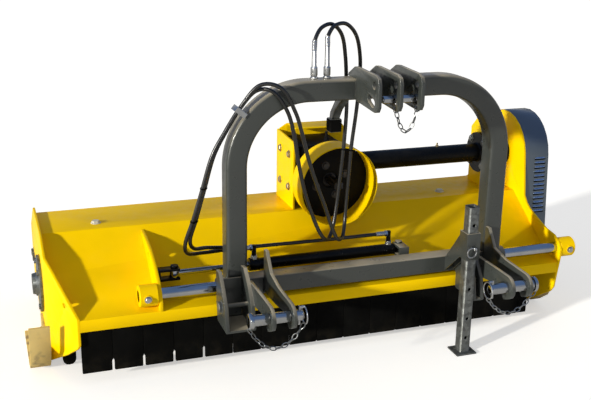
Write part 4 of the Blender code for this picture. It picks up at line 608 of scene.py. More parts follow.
def casting(name, colour, roughness):
    """Painted casting: grainy skin with pits."""
    material, tree, shader = new_finish(name, colour, roughness, 0.1, 0.12)
    base = blended(tree, patches(tree, 18, 8, 0.40, 0.62), colour, shaded(colour, 0.55))
    patterned(tree, shader, base, None, noise(tree, 150, 8), 0.5, 0.0012)
    return material


FINISHES = {
    "yellow paint": (paint, "yellow", 0.36, dict(coat=0.02, dust=0.03, gloss=0.05)),
    "headstock paint": (paint, "headstock", 0.32, dict(coat=0.15, dust=0.12, peel=0.2, gloss=0.60, film=0.8)),
    # Dull ochre of the skids: partly worn paint and dirt, partly painted shade.
    "skid paint": (paint, "skid", 0.70, dict(dust=0.25, tint=0.25)),
    # The cover's blue tint is a painted sky reflection on its grey paint.
    "cover paint": (paint, "cover", 0.20, dict(dust=0.05, peel=0.05, metallic=0.6)),
    "roller paint": (paint, (0.030, 0.030, 0.030), 0.55, dict(dust=0.2)),
    "drive paint": (paint, (0.004, 0.004, 0.004), 0.30, dict(dust=0.03, gloss=0.15)),
    "bright bolt": (paint, (0.62, 0.60, 0.52), 0.35, dict(dust=0.05)),
    # Near black: the gearbox's own dark paint, made darker still as painted shade of the hollow inside the
    # guard.
    "cast housing": (casting, (0.006, 0.006, 0.006), 0.55, {}),
    "rotor steel": (casting, (0.050, 0.045, 0.040), 0.60, {}),
    "weld": (casting, (0.050, 0.052, 0.048), 0.50, {}),
    # Blue-tinted metal of the louvre lips: the blue is a painted sky reflection.
    "louvre lip": (bare_metal, (0.32, 0.42, 0.58), 0.22, dict(stretch=(1, 4, 4), scratch=0.05, spread=0.25)),
    "chain steel": (bare_metal, (0.34, 0.35, 0.35), 0.32, dict(stretch=(4, 4, 4), scratch=0.10, spread=0.5)),
    "turned steel": (bare_metal, (0.45, 0.45, 0.44), 0.30, dict(stretch=(1, 8, 8))),
    "dark steel": (bare_metal, (0.085, 0.080, 0.075), 0.45, dict(stretch=(8, 1, 8))),
    "chromed bar": (bare_metal, (0.46, 0.47, 0.48), 0.12,
                    dict(stretch=(1, 10, 10), scratch=0.06, spread=0.15)),
    "plated steel": (bare_metal, (0.60, 0.61, 0.62), 0.25, dict(stretch=(4, 4, 4), scratch=0.10)),
    "yellow zinc": (bare_metal, (0.50, 0.42, 0.26), 0.35, dict(stretch=(3, 3, 3), scratch=0.12, spread=0.4)),
    "zinc coat": (zinc, (0.22, 0.23, 0.23), 0.5, {}),
    "flap rubber": (rubber, "rubber", 0.75, dict(gloss=0.03)),
    "hose rubber": (rubber, (0.0034, 0.0034, 0.0033), 0.30, dict(ribs=0.05, dust=0.02, gloss=0.65)),
}


def finish(name):
    """Material of this name, made when it is first asked for. A colour that
    is given by name is one of the user's."""
    ready = bpy.data.materials.get(name)
    if ready:
        return ready
    maker, colour, roughness, options = FINISHES[name]
    if isinstance(colour, str):
        colour = getattr(bpy.context.scene.mower_paint, colour)
    return maker(name, colour, roughness, **options)


# Stage

class MOWER_OT_stage(bpy.types.Operator):
    """Pale floor, soft light and the camera"""

    bl_idname = "mower.stage"
    bl_label = "Stage"

    camera_place = (-1.0990, -2.9796, 1.480)
    camera_yaw = 19.324
    camera_pitch = 17.461
    camera_roll = 0.862
    floor_reach = 40
    floor_colour = (0.86, 0.86, 0.86)
    floor_glow = 0.50
    mirrored = 0.20
    blue = (0.30, 0.50, 0.95)
    key_from = (-0.896, -0.362, 0.262)
    key_colour = (1.0, 0.96, 0.86)
    key_spread = 2.5

    def execute(self, context):
        settings = context.scene.mower_stage
        self.floor()
        self.sky(context.scene, settings.sky)
        self.key(settings.key)
        self.camera(context.scene, settings.lens)
        context.scene.view_settings.view_transform = "Standard"
        return {"FINISHED"}

    def floor(self):
        """Flat square, white to the camera where the light falls on it."""
        line = np.linspace(-self.floor_reach, self.floor_reach, 9)
        points = np.stack(np.meshgrid(line, line, [0.0], indexing="ij"), -1).reshape(-1, 3)
        mesh = bpy.data.meshes.new("floor")
        mesh.from_pydata(points.tolist(), [], grid(9, 9).tolist())
        mesh.materials.append(self.floor_finish())
        floor = bpy.data.objects.new("floor", mesh)
        bpy.context.scene.collection.objects.link(floor)

    def floor_finish(self):
        """Pale matt floor with a little of its own light for the camera."""
        material, tree, shader = new_finish("pale floor", self.floor_colour, 0.9, gloss=0.1)
        seen = added(tree, "LightPath", {}).outputs["Is Camera Ray"]
        shader.inputs["Emission Color"].default_value = (1, 1, 1, 1)
        tree.links.new(joined(tree, seen, self.floor_glow), shader.inputs["Emission Strength"])
        return material

    def sky(self, scene, strength):
        """Even neutral world; the camera sees it white, and mirrors see a
        share of it, white at the horizon and blue overhead."""
        world = bpy.data.worlds.new("sky")
        world.use_nodes = True
        tree = world.node_tree
        ray = added(tree, "LightPath", {}).outputs
        where = added(tree, "TexCoord", {}).outputs["Generated"]
        overhead = blended(tree, between(tree, upright(tree, where), 0.0, 0.5), (1, 1, 1), self.blue)
        colour = blended(tree, ray["Is Glossy Ray"], (1, 1, 1), overhead)
        glossy = joined(tree, ray["Is Glossy Ray"], self.mirrored)
        seen = joined(tree, ray["Is Camera Ray"], glossy, "MAXIMUM")
        back = tree.nodes["Background"].inputs
        tree.links.new(colour, back["Color"])
        tree.links.new(between(tree, seen, 0, 1, strength, 1.0), back["Strength"])
        scene.world = world

    def key(self, strength):
        """Low sun from the left front."""
        data = bpy.data.lights.new("key", "SUN")
        data.energy = strength
        data.angle = math.radians(self.key_spread)
        data.color = self.key_colour
        light = bpy.data.objects.new("key", data)
        bpy.context.scene.collection.objects.link(light)
        light.rotation_euler = Vector(self.key_from).to_track_quat("Z", "Y").to_euler()

    def camera(self, scene, lens):
        """Camera turned by yaw, pitch and roll at the photograph's place."""
        yaw, pitch, roll = (math.radians(a) for a in (self.camera_yaw, self.camera_pitch, self.camera_roll))
        ahead = Vector((math.sin(yaw) * math.cos(pitch), math.cos(yaw) * math.cos(pitch), -math.sin(pitch)))
        level = Vector((math.cos(yaw), -math.sin(yaw), 0))
        up = level.cross(ahead)
        right = math.cos(roll) * level + math.sin(roll) * up
        top = -math.sin(roll) * level + math.cos(roll) * up
        data = bpy.data.cameras.new("camera")
        data.lens = lens
        data.sensor_width = 36
        camera = bpy.data.objects.new("camera", data)
        scene.collection.objects.link(camera)
        turn = Matrix((right, top, -ahead)).transposed()
        camera.matrix_world = Matrix.Translation(self.camera_place) @ turn.to_4x4()
        scene.camera = camera


# Hoses

HOSE_A = [
    (-0.022, 0.030, 1.0517), (-0.022, 0.030, 1.0647),
    (-0.019, 0.031, 1.090), (0.004, 0.040, 1.122), (0.047, 0.056, 1.130), (0.088, 0.074, 1.092),
    (0.108, 0.088, 1.020), (0.116, 0.092, 0.930), (0.120, 0.093, 0.841), (0.114, 0.094, 0.714),
    (0.104, 0.096, 0.600), (0.094, 0.094, 0.505), (0.076, 0.080, 0.430), (0.045, 0.046, 0.404),
    (0.006, 0.010, 0.440), (-0.030, -0.006, 0.512), (-0.062, -0.014, 0.600), (-0.086, -0.018, 0.699),
    (-0.103, -0.022, 0.789), (-0.128, -0.024, 0.872), (-0.174, -0.017, 0.936), (-0.220, 0.012, 0.936),
    (-0.268, 0.020, 0.884), (-0.314, 0.022, 0.812), (-0.356, 0.022, 0.733), (-0.388, 0.026, 0.620),
    (-0.414, 0.034, 0.523), (-0.432, 0.046, 0.452), (-0.414, 0.070, 0.412), (-0.366, 0.092, 0.402),
    (-0.300, 0.106, 0.390), (-0.256, 0.111, 0.380), (-0.2253, 0.112, 0.378), (-0.2123, 0.112, 0.378),
]
HOSE_B = [
    (0.022, 0.030, 1.0627), (0.022, 0.030, 1.0757),
    (0.024, 0.031, 1.098), (0.049, 0.041, 1.127), (0.095, 0.056, 1.130), (0.138, 0.074, 1.090),
    (0.160, 0.088, 1.020), (0.163, 0.092, 0.940), (0.156, 0.093, 0.839), (0.142, 0.094, 0.711),
    (0.136, 0.096, 0.600), (0.131, 0.097, 0.510), (0.124, 0.088, 0.446), (0.105, 0.058, 0.405),
    (0.072, 0.022, 0.412), (0.040, 0.000, 0.468), (0.010, -0.010, 0.545), (-0.022, -0.014, 0.625),
    (-0.052, -0.018, 0.709), (-0.077, -0.022, 0.796), (-0.106, -0.036, 0.872), (-0.154, -0.040, 0.950),
    (-0.216, -0.012, 0.957), (-0.272, 0.004, 0.890), (-0.322, 0.006, 0.814), (-0.366, 0.007, 0.735),
    (-0.400, 0.012, 0.620), (-0.428, 0.020, 0.523), (-0.450, 0.036, 0.446), (-0.436, 0.068, 0.398),
    (-0.378, 0.106, 0.380), (-0.300, 0.126, 0.374), (-0.200, 0.134, 0.372), (-0.100, 0.132, 0.372),
    (0.040, 0.128, 0.372), (0.150, 0.122, 0.374), (0.225, 0.115, 0.377), (0.2767, 0.112, 0.378),
    (0.2897, 0.112, 0.378),
]


class MOWER_OT_hoses(bpy.types.Operator):
    """Two hydraulic hoses with their ferrules, ties and port nuts"""

    bl_idname = "mower.hoses"
    bl_label = "Hoses"

    spacing = 0.005
    ferrule_steps = 7
    ferrule_wall = 0.0018
    crimps = 5
    crimp_depth = 0.0006
    tie_spots = ((-0.394, 0.019, 0.630), (-0.426, 0.026, 0.520), (0.150, 0.094, 0.700))
    tie_slack = 0.0003
    tie_width = 0.0045
    tie_thick = 0.0013
    cylinder = placed(0.0, 0.112, 0.317)
    ports = (-0.197 - ORIGIN[0], 0.305 - ORIGIN[0])
    port_rise = 0.0195
    elbow_level = 0.378
    swivel_reach = 0.0155

    def execute(self, context):
        radius = context.scene.mower_detail.hose / 2
        ferrules = []
        paths = []
        for name, route in (("hose_a", HOSE_A), ("hose_b", HOSE_B)):
            path = smooth_curve(np.array(route) - ORIGIN, self.spacing)
            piece(name + "_tube", swept(path, radius * circle(16)), "hose rubber", "headstock",
                  (name,))
            paths.append(path)
            for end in (path, path[::-1]):
                ferrules.append(self.ferrule(end[:self.ferrule_steps + 1], radius))
        piece("hose_ferrules", many(ferrules), "plated steel", "headstock")
        self.ties(paths, radius)
        self.port_nuts()
        return {"FINISHED"}

    def ferrule(self, path, radius):
        """Crimped sleeve: the hose's radius + 1.8 mm, waved by 0.6 mm."""
        path = smooth_curve(path, 0.001)
        share = np.linspace(0, 1, len(path))
        swell = radius + self.ferrule_wall + self.crimp_depth * np.cos(share * 2 * math.pi * self.crimps)
        swell[[0, -1]] = radius * 0.98
        return swept(path, circle(20), scale=swell, caps=False)

    def ties(self, paths, radius):
        """Straps round both hoses at the places that the photograph shows."""
        shapes = []
        for spot in self.tie_spots:
            near = []
            for path in paths:
                index = int(np.argmin(np.linalg.norm(path - placed(*spot), axis=1)))
                near.append((path[index], path[index + 1] - path[index - 1]))
            (a, way), (b, _) = near
            shapes.append(strap(a, b, way, radius + self.tie_slack, self.tie_width, self.tie_thick))
        piece("hose_ties", many(shapes), "flap rubber", "headstock")

    def port_nuts(self):
        """Silver hexagons with collars between the barrel and its elbows,
        and the swivel nuts of the hoses."""
        nut = [(0, 0), (0, 0.0125), (0.008, 0.0125), (0.009, 0.0115), (0.009, 0)]
        collar = [(0.009, 0), (0.009, 0.0105), (0.013, 0.0105), (0.0135, 0.0100), (0.0135, 0)]
        swivel = [(0, 0), (0, 0.0098), (0.0015, 0.0110), (0.0085, 0.0110), (0.0085, 0)]
        _, y, level = self.cylinder + (0, 0, self.port_rise)
        shapes = []
        for x in self.ports:
            shapes.append(turned("Z", (x, y, 0), moved(nut, level), 6))
            shapes.append(turned("Z", (x, y, 0), moved(collar, level), 20))
            shapes.append(turned("X", (0, y, self.elbow_level), moved(swivel, x - self.swivel_reach), 6))
        piece("port_nuts", many(shapes), "plated steel", "headstock")


# Headstock

class MOWER_OT_headstock(bpy.types.Operator):
    """Arch, sliding sleeve, bushes, hooks and brackets"""

    bl_idname = "mower.headstock"
    bl_label = "Headstock"

    bend_radius = 0.240
    straight = 0.2
    arch_corner = 0.012
    sleeve_corner = 0.004
    bush_lap = 0.01

    def execute(self, context):
        self.arch()
        self.sleeve()
        dressed("left_hitch_box left_inner_hook right_hitch_box right_inner_hook",
                "headstock paint", "headstock", 0.0018)
        dressed("left_top_plate middle_top_plate right_top_plate shaft_holder barrel_fork stand_guide",
                "headstock paint", "headstock", 0.0015)
        dressed("hose_clamp", "chromed bar", "headstock", 0.0006)
        return {"FINISHED"}

    def arch(self):
        """Rounded square section carried up one leg, round two bends and
        down the other leg."""
        a, b = span("headstock_arch")
        tube = b[1] - a[1]
        left = a[0] + tube / 2
        right = b[0] - tube / 2
        top = b[2] - tube / 2
        y = (a[1] + b[1]) / 2
        foot = a[2]
        turn = self.bend_radius
        path = np.concatenate([
            [(left, y, foot), (left, y, foot + self.straight)],
            bend((left + turn, y, top - turn), turn, 180, 90, 36),
            bend((right - turn, y, top - turn), turn, 90, 0, 36),
            [(right, y, foot + self.straight), (right, y, foot)]])
        section = soft_square(tube, tube, self.arch_corner)
        piece("arch_tube", swept(path, section), "headstock paint", "headstock",
              ("headstock_arch",))

    def sleeve(self):
        """Square sleeve with 4 mm corners, and a turned bush at each end."""
        a, b = span("slide_sleeve")
        _, y, z = (a + b) / 2
        section = soft_square(b[1] - a[1], b[2] - a[2], self.sleeve_corner, 4)
        path = [(x, y, z) for x in (a[0], a[0] + 0.05, b[0] - 0.05, b[0])]
        piece("sleeve_tube", swept(path, section), "headstock paint", "headstock",
              ("slide_sleeve",))
        for side, way in (("left", -1), ("right", 1)):
            node = side + "_slide_bush"
            flange = half(node, 1)
            end = a[0] if way < 0 else b[0]
            far = span(node)[0][0] if way < 0 else span(node)[1][0]
            lap = way * self.bush_lap
            profile = [(end - lap, BAR_R + 0.001), (end, flange), (far - way * 0.0015, flange),
                       (far, flange - 0.0015), (far, BAR_R + 0.0015), (far - lap, BAR_R + 0.0008)]
            piece(node + "_turned", turned("X", (0, y, z), profile), "headstock paint", "headstock",
                  (node,))


# Bar and cylinder

class MOWER_OT_bar(bpy.types.Operator):
    """Chromed sliding bar with its bosses, and the side shift cylinder"""

    bl_idname = "mower.bar"
    bl_label = "Bar and cylinder"

    chamfer = 0.002
    rim = 0.003
    screw_inset = 0.026

    def execute(self, context):
        a = span("slide_bar")[0][0]
        b = span("slide_bar")[1][0]
        profile = [(a, 0), (a, BAR_R - self.chamfer), (a + self.chamfer, BAR_R),
                   (b - self.chamfer, BAR_R), (b, BAR_R - self.chamfer), (b, 0)]
        piece("chromed_bar", turned("X", BAR, profile, 64), "chromed bar", "mower",
              ("slide_bar",))
        dressed("left_bar_bracket", "yellow paint", "mower")
        for side in ("left", "right"):
            self.boss(side)
        dressed("rod_fork", "drive paint", "mower")
        dressed("cylinder_rod", "chromed bar", "mower", 0.0008)
        dressed("cylinder_barrel", "drive paint", "headstock", 0.0010)
        return {"FINISHED"}

    def boss(self, side):
        """Turned collar with a clamp screw in a seat that faces the tractor."""
        node = side + "_bar_boss"
        a, b = span(node)
        radius = half(node, 2)
        rim = self.rim
        profile = [(a[0], BAR_R), (a[0], radius - rim), (a[0] + rim, radius),
                   (b[0] - rim, radius), (b[0], radius - rim), (b[0], BAR_R)]
        piece(node + "_collar", turned("X", BAR, profile, 64), "yellow paint", "mower",
              (node,))
        x = a[0] + self.screw_inset if side == "left" else b[0] - self.screw_inset
        face = a[1] + 0.008
        seat = [(0.012, 0), (0.012, 0.0145), (-0.0005, 0.0145), (-0.001, 0.0140), (-0.001, 0)]
        head = [(-0.001, 0), (-0.001, 0.0118), (-0.0025, 0.0118), (-0.0025, 0.0095), (-0.0075, 0.0095),
                (-0.009, 0.0080), (-0.009, 0)]
        for name, profile, sides, coat, slot in (("screw", head, 24, "plated steel", "chrome_plate"),
                                                 ("seat", seat, 32, "yellow paint", "yellow_paint")):
            shape = turned("Y", (x, 0, BAR[2]), moved(profile, face), sides)
            piece(side + "_boss_" + name, shape, coat, "mower")


# Deck

class MOWER_OT_deck(bpy.types.Operator):
    """Hood, end plates, skids, clamp bar and bearings"""

    bl_idname = "mower.deck"
    bl_label = "Deck"

    def execute(self, context):
        dressed("deck_hood", "yellow paint", "mower", 0.0010)
        dressed("left_end_plate right_end_plate", "yellow paint", "mower", 0.0015)
        dressed("flap_clamp_bar", "rotor steel", "mower")
        for side in ("left", "right"):
            dressed(side + "_skid", "skid paint", "mower", 0.0018)
            dressed(side + "_rotor_bearing", "zinc coat", "mower", 0.0012)
        return {"FINISHED"}


class MOWER_OT_flaps(bpy.types.Operator):
    """Row of rubber flaps on their rod"""

    bl_idname = "mower.flaps"
    bl_label = "Rubber flaps"

    count = 16
    pitch = 0.100
    slit = 0.0004
    notch = 0.0068
    narrow = 0.0008
    notched = 4
    step_from = 0.72
    step_over = 0.05
    corner = 0.0018
    rod = 0.0040

    def execute(self, context):
        a, b = span("rubber_flaps")
        left = a[0] - 0.001
        shapes = []
        for i in range(self.count + 1):
            start = left + i * self.pitch
            end = min(start + self.pitch, b[0] + 0.001)
            shapes.append(self.flap(start + self.slit / 2, end - self.slit / 2, a, b, i,
                                    context.scene.mower_detail.curl))
        y = (a[1] + b[1]) / 2
        ends = [(a[0], 0), (a[0], self.rod), (b[0], self.rod), (b[0], 0)]
        shapes.append(turned("X", (0, y, b[2] - self.rod), ends, 20))
        piece("flap_row", many(shapes), "flap rubber", "flap_row", ("rubber_flaps",), 50)
        return {"FINISHED"}

    def flap(self, x0, x1, a, b, number, curl):
        """Slab with round corners that hangs freely: u across and v down it,
        its sides step in from v = 0.72 to 0.77, by the notch at the notched
        gaps, and its middle bows by curl * cos(pi u) * v."""
        section = soft_square(x1 - x0, b[1] - a[1], self.corner, 3)
        drop = np.concatenate([np.linspace(0, 0.70, 10),
                               [0.72, 0.735, 0.755, 0.77, 0.85, 0.94, 0.975, 0.992, 1]])
        sway = math.sin(number * 2.4) * curl * 0.6
        top = b[2] - self.rod
        shrink = np.interp(drop, [0, 0.975, 0.992, 1.0], [1, 1, 0.985, 0.955])
        across = section[None, :, 0] / (x1 - x0)
        step = np.clip((drop - self.step_from) / self.step_over, 0, 1)
        sides = [self.notch if 1 <= gap <= self.notched else self.narrow for gap in (number, number + 1)]
        cut = (step * step * (3 - 2 * step))[:, None] * np.where(section[:, 0] < 0, *sides)[None, :]
        bow = (curl * np.cos(across * math.pi) * (-1) ** number + sway) * drop[:, None]
        points = np.empty((len(drop), len(section), 3))
        points[..., 0] = (x0 + x1) / 2 + section[None, :, 0] * (shrink[:, None] - cut / (x1 - x0))
        points[..., 1] = (a[1] + b[1]) / 2 + section[None, :, 1] * 0.8 + bow * 0.5
        points[..., 2] = (top + (a[2] - top) * drop)[:, None]
        return points.reshape(-1, 3), closed(len(drop), len(section))


# Rotor, roller and belt

class MOWER_OT_rotor(bpy.types.Operator):
    """Rotor, hammers, roller and belt drive"""

    bl_idname = "mower.rotor"
    bl_label = "Rotor and roller"

    stub = 0.015
    stub_length = 0.0155
    rim = 0.004

    def execute(self, context):
        dressed("rotor_tube", "rotor steel", "rotor", 0.0008, 1)
        dressed("front_hammers", "rotor steel", "front_hammer_row", 0.0015)
        dressed("rear_hammers", "rotor steel", "rear_hammer_row", 0.0015)
        dressed("lower_pulley", "turned steel", "rotor", 0.0006, 1)
        dressed("upper_pulley cross_shaft", "turned steel", "cross_drive", 0.0006, 1)
        dressed("cross_shaft_bearing", "turned steel", "mower", 0.0006, 1)
        dressed("drive_belt", "flap rubber", "mower", 0.0004, 1)
        self.roller()
        return {"FINISHED"}

    def roller(self):
        """Roller drum with rounded ends and its stub shafts."""
        a, b = span("rear_roller")
        radius = half("rear_roller", 2)
        left = a[0] + self.stub_length
        right = b[0] - self.stub_length
        profile = [(a[0], 0), (a[0], self.stub), (left, self.stub), (left, radius - self.rim),
                   (left + self.rim, radius), (right - self.rim, radius), (right, radius - self.rim),
                   (right, self.stub), (b[0], self.stub), (b[0], 0)]
        piece("roller_drum", turned("X", middle("rear_roller"), profile, 72), "roller paint", "roller",
              ("rear_roller",))


# Gearbox and drive

class MOWER_OT_drive(bpy.types.Operator):
    """Gearbox, guard, input shaft, drive tube and its support"""

    bl_idname = "mower.drive"
    bl_label = "Drive"

    guard_wall = 0.004
    guard_roll = 0.001
    tube_bore = 0.031
    tube_r = 0.036
    end_flange = 0.060
    support_flange = 0.080

    def execute(self, context):
        dressed("gearbox_side_bracket gearbox_rear_bracket tube_support",
                "yellow paint", "mower")
        # The casing's near-black finish is partly painted shade.
        dressed("gearbox_casing", "cast housing", "mower", 0.0030, 3)
        dressed("input_bearing", "dark steel", "mower", 0.0005, 1)
        dressed("input_shaft", "dark steel", "input_drive", 0.0005, 1)
        self.guard()
        self.drive_tube()
        dressed("belt_case_cover", "cover paint", "mower", 0.0020, 3)
        return {"FINISHED"}

    def guard(self):
        """Thin ring with a rolled front edge, open at both ends."""
        front, back = (corner[1] for corner in span("pto_guard_ring"))
        outer = half("pto_guard_ring", 0)
        inner = outer - self.guard_wall
        roll = self.guard_roll
        profile = [(front + roll, outer), (back, outer), (back, inner), (front + roll, inner),
                   (front, inner + roll), (front, outer - roll), (front + roll, outer)]
        piece("guard_ring", turned("Y", middle("pto_guard_ring"), profile, 96), "yellow paint", "mower",
              ("pto_guard_ring",))

    def drive_tube(self):
        """Tube with its three flanges, turned in one profile."""
        a, b = (corner[0] for corner in span("drive_tube"))
        tube = self.tube_r
        end = self.end_flange
        support = span("tube_support")[0][0]
        profile = [(a, self.tube_bore), (a, end), (a + 0.012, end), (a + 0.012, tube + 0.004),
                   (a + 0.016, tube), (support - 0.018, tube), (support - 0.013, tube + 0.004),
                   (support - 0.0125, self.support_flange), (support - 0.0003, self.support_flange),
                   (support - 0.0003, tube), (b - 0.014, tube), (b - 0.012, end), (b, end),
                   (b, self.tube_bore)]
        piece("drive_tube_turned", turned("X", middle("drive_tube"), profile, 64), "drive paint", "mower",
              ("drive_tube",))


# Pins, couplings and stand

class MOWER_OT_pins(bpy.types.Operator):
    """Linkage pins, lynch pins, couplings and the parking stand"""

    bl_idname = "mower.pins"
    bl_label = "Pins and stand"

    def execute(self, context):
        for side in ("left", "right"):
            dressed(side + "_hitch_pin", "chromed bar", side + "_link_pin", 0.0008)
            dressed(side + "_lynch_pin", "plated steel", side + "_lynch", 0.0004, 1)
        dressed("top_link_pin", "chromed bar", "top_pin", 0.0008)
        dressed("parking_stand", "zinc coat", "stand", 0.0010)
        dressed("stand_lock_pin", "plated steel", "stand_lock", 0.0004, 1)
        dressed("coupling_a coupling_b", "plated steel", "headstock", 0.0006)
        return {"FINISHED"}


# Chains

class MOWER_OT_chains(bpy.types.Operator):
    """Retaining chains of the linkage pins and the top link"""

    bl_idname = "mower.chains"
    bl_label = "Chains"

    wire = 0.0018
    pin_chains = (("left", placed(-0.3300, -0.275, 0.2660), placed(-0.1505, -0.275, 0.2620), 0.075, 0.80),
                  ("right", placed(0.6710, -0.275, 0.2660), placed(0.4915, -0.275, 0.2620), 0.066, 0.88))
    top_ends = (placed(0.1875, -0.150, 0.8790), placed(0.2600, -0.150, 0.8790))
    top_sag = 0.065
    ring_drop = 0.0070
    ring_r = 0.0095
    ring_wire = 0.0017

    def execute(self, context):
        link = context.scene.mower_detail.link
        for side, start, end, sag, share in self.pin_chains:
            self.pin_chain(side, start, end, sag, share, link)
        shapes = [chain(*self.top_ends, self.top_sag, link, self.wire)]
        for end in self.top_ends:
            shapes.append(ring("Y", end + (0, 0, self.ring_drop), end[1], self.ring_r, self.ring_wire))
        piece("top_chain", many(shapes), "chain steel", "headstock")
        return {"FINISHED"}

    def pin_chain(self, side, start, end, sag, share, link):
        """Chain from a pin's head to the ring of its lynch pin. The share is not used."""
        links = chain(start, end, sag, link, self.wire)
        obj = piece(side + "_chain", links, "chain steel", None)
        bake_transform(obj)


# Bolts, welds and trim

class MOWER_OT_fasteners(bpy.types.Operator):
    """Bolts with their washers, weld beads, louvre lips and rubber trim"""

    bl_idname = "mower.fasteners"
    bl_label = "Bolts and trim"

    shaft_level = 0.557
    plate_wall = 0.0078
    louvre_count = 13
    louvre_pitch = 0.0176
    louvre_top = 0.5670
    louvre_left = 0.9990
    louvre_width = 0.0526
    louvre_height = 0.0085
    louvre_depth = 0.0075
    louvre_sheet = 0.0012
    louvre_wall = (0.2615, 0.2634)
    louvre_lean = 0.0784
    sleeve_seams = (-0.265, -0.253, -0.197, -0.185, 0.560, 0.572, 0.628, 0.640, -0.277, 0.548)
    leg_middles = (-0.287, 0.662)
    beam_seams = (0.109, 0.121, 0.1815, 0.1935, 0.254, 0.266)

    def execute(self, context):
        self.bolts()
        self.welds()
        self.louvres()
        self.trim()
        return {"FINISHED"}

    def bolts(self):
        """Bolts of the gearbox brackets, guard, panel, roller and hooks."""
        ox, oy, _ = ORIGIN
        rows = (0.495, 0.619)
        side_holes = [(y - oy, z) for y in (0.395, 0.495) for z in rows]
        rear_holes = [(x - ox, z) for x in (0.069, 0.179) for z in rows]
        guard_holes = round_about((0.124 - ox, self.shaft_level), 0.058, 4, 20)
        flange_holes = round_about((0.445 - oy, self.shaft_level), 0.066, 4, 45)
        panel_holes = [(x - ox, 0.400 - oy) for x in (-0.689, 0.655)]
        roller_holes = [(y - oy, 0.200) for y in (0.710, 0.770)]
        hitch_holes = [(-0.082 - oy, 0.262)]
        left = span("left_end_plate")[0][0] + self.plate_wall
        right = span("right_end_plate")[1][0] - self.plate_wall
        side_face = span("gearbox_side_bracket")[0][0] + 0.0065
        rear_face = span("gearbox_rear_bracket")[1][1]
        groups = (
            ("bracket_bolts", "yellow zinc", "mower", "yellow_paint",
             bolts("X", side_holes, side_face, 0.010, -1)),
            ("rear_bolts", "yellow zinc", "mower", "yellow_paint",
             bolts("Y", rear_holes, rear_face, 0.010, 1)),
            ("guard_bolts", "dark steel", "mower", "gearbox_cast",
             bolts("Y", guard_holes, 0.232 - oy, 0.010, -1)),
            ("panel_bolts", "bright bolt", "mower", "galvanised", bolts("Z", panel_holes, 0.420, 0.012, 1)),
            ("deck_bolts", "zinc coat", "mower", "galvanised",
             bolts("X", roller_holes, left, 0.012, -1) + bolts("X", roller_holes, right, 0.012, 1)
             + bolts("X", flange_holes, 0.8357 - ox, 0.010, -1)),
            ("hitch_bolts", "zinc coat", "headstock", "galvanised",
             bolts("X", hitch_holes, -0.363 - ox, 0.0155, -1)
             + bolts("X", hitch_holes, 0.520 - ox, 0.0155, -1)),
        )
        for name, coat, body, slot, shapes in groups:
            piece(name, many(shapes), coat, body)

    def welds(self):
        """Beads where plates and legs meet the sleeve and the beam."""
        seams = []
        for x in self.sleeve_seams:
            seams.append(((x, -0.001, 0.257), (x, -0.001, 0.309)))
        for x in self.leg_middles:
            for y in (-0.002, 0.062):
                seams.append(((x - 0.034, y, 0.2845), (x + 0.034, y, 0.2845)))
            inner = x + 0.035 if x < 0 else x - 0.035
            seams.append(((inner, 0.002, 0.3135), (inner, 0.058, 0.3135)))
            seams.append(((inner, -0.001, 0.287), (inner, -0.001, 0.312)))
        for x in self.beam_seams:
            seams.append(((x, -0.006, 0.897), (x, -0.006, 0.957)))
        shapes = [bead(placed(*a), placed(*b)) for a, b in seams]
        piece("headstock_welds", many(shapes), "weld", "headstock", sharp=60)

    def louvres(self):
        """Pressed lips over the slots: with u across and v down, the lip
        stands out by depth * (1 - (2 u - 1)^4)^(1/2) * sin(pi v / 2) from a
        wall that leans back by 78.4 mm a metre."""
        u = np.linspace(0, 1, 17)[None, :]
        v = np.linspace(0, 1, 8)[:, None]
        depth = self.louvre_depth * np.sqrt(np.clip(1 - (2 * u - 1) ** 4, 0, 1)) * np.sin(v * math.pi / 2)
        wall_y, wall_z = self.louvre_wall
        shapes = []
        for i in range(self.louvre_count):
            z = self.louvre_top - i * self.louvre_pitch - self.louvre_height * v
            points = np.empty((8, 17, 3))
            points[..., 0] = self.louvre_left + self.louvre_width * u
            points[..., 1] = wall_y + (z - wall_z) * self.louvre_lean - depth
            points[..., 2] = z
            shapes.append((points.reshape(-1, 3) - ORIGIN, grid(8, 17)))
        # The lips' blue finish is a painted sky reflection.
        obj = piece("louvre_lips", many(shapes), "louvre lip", "mower")
        wall = obj.modifiers.new("wall", "SOLIDIFY")
        wall.thickness = self.louvre_sheet
        wall.offset = 0

    def trim(self):
        """Rubber pieces, the left hitch box's back and a grease nipple."""
        sleeve = rounded_box(placed(0.0588, 0.0803, 0.7695), placed(0.1002, 0.1217, 0.8115), 0.004)
        piece("holder_sleeve", sleeve, "flap rubber", "headstock")
        outline = ((-0.850, 0.240), (-0.806, 0.240), (-0.806, 0.044), (-0.809, 0.034), (-0.817, 0.026),
                   (-0.828, 0.024), (-0.839, 0.026), (-0.847, 0.034), (-0.850, 0.044))
        points = [placed(x, y, z) for y in (0.131, 0.139) for x, z in outline]
        piece("nose_flap", (points, closed(2, len(outline))), "flap rubber", "mower")
        back = rounded_box(placed(-0.3505, -0.0200, 0.1985), placed(-0.2775, -0.0120, 0.3300), 0.0015)
        piece("hitch_box_back", back, "headstock paint", "headstock")
        foot = self.shaft_level + 0.036
        nipple = [(-0.002, 0), (-0.002, 0.0062), (0.004, 0.0062), (0.005, 0.0036), (0.009, 0.0034),
                  (0.010, 0.0044), (0.013, 0.0036), (0.0145, 0)]
        shape = turned("Z", placed(0.656, 0.445, 0), moved(nipple, foot), 20)
        piece("grease_nipple", shape, "yellow zinc", "mower")


# Panel and registration

OPERATORS = (MOWER_OT_stage, MOWER_OT_hoses, MOWER_OT_headstock, MOWER_OT_bar, MOWER_OT_deck,
             MOWER_OT_flaps, MOWER_OT_rotor, MOWER_OT_drive, MOWER_OT_pins,
             MOWER_OT_chains, MOWER_OT_fasteners)
SETTINGS = (("mower_paint", MowerPaintSettings), ("mower_detail", MowerDetailSettings),
            ("mower_stage", MowerStageSettings))


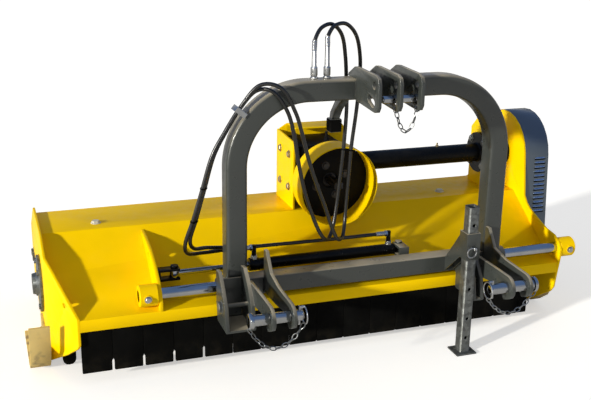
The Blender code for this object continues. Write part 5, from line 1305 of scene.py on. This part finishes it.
class MOWER_PT_panel(bpy.types.Panel):
    """Settings and pieces of the mower"""

    bl_idname = "MOWER_PT_panel"
    bl_label = "Flail Mower"
    bl_space_type = "VIEW_3D"
    bl_region_type = "UI"
    bl_category = "Mower"

    def draw(self, context):
        layout = self.layout
        for group, settings in SETTINGS:
            box = layout.box()
            for name in settings.__annotations__:
                box.prop(getattr(context.scene, group), name)
        for operator in OPERATORS:
            layout.operator(operator.bl_idname)


def register():
    """Register the settings, the operators and the panel."""
    for name, group in SETTINGS:
        bpy.utils.register_class(group)
        setattr(bpy.types.Scene, name, bpy.props.PointerProperty(type=group))
    for operator in OPERATORS:
        bpy.utils.register_class(operator)
    bpy.utils.register_class(MOWER_PT_panel)


def unregister():
    """Undo register, last first."""
    bpy.utils.unregister_class(MOWER_PT_panel)
    for operator in reversed(OPERATORS):
        bpy.utils.unregister_class(operator)
    for name, group in reversed(SETTINGS):
        delattr(bpy.types.Scene, name)
        bpy.utils.unregister_class(group)


def main():
    """Make the stage and every piece."""
    register()
    for operator in OPERATORS:
        group, name = operator.bl_idname.split(".")
        result = getattr(getattr(bpy.ops, group), name)()
        if result != {"FINISHED"}:
            raise RuntimeError(operator.bl_idname + " did not finish")


if __name__ == "__main__":
    main()
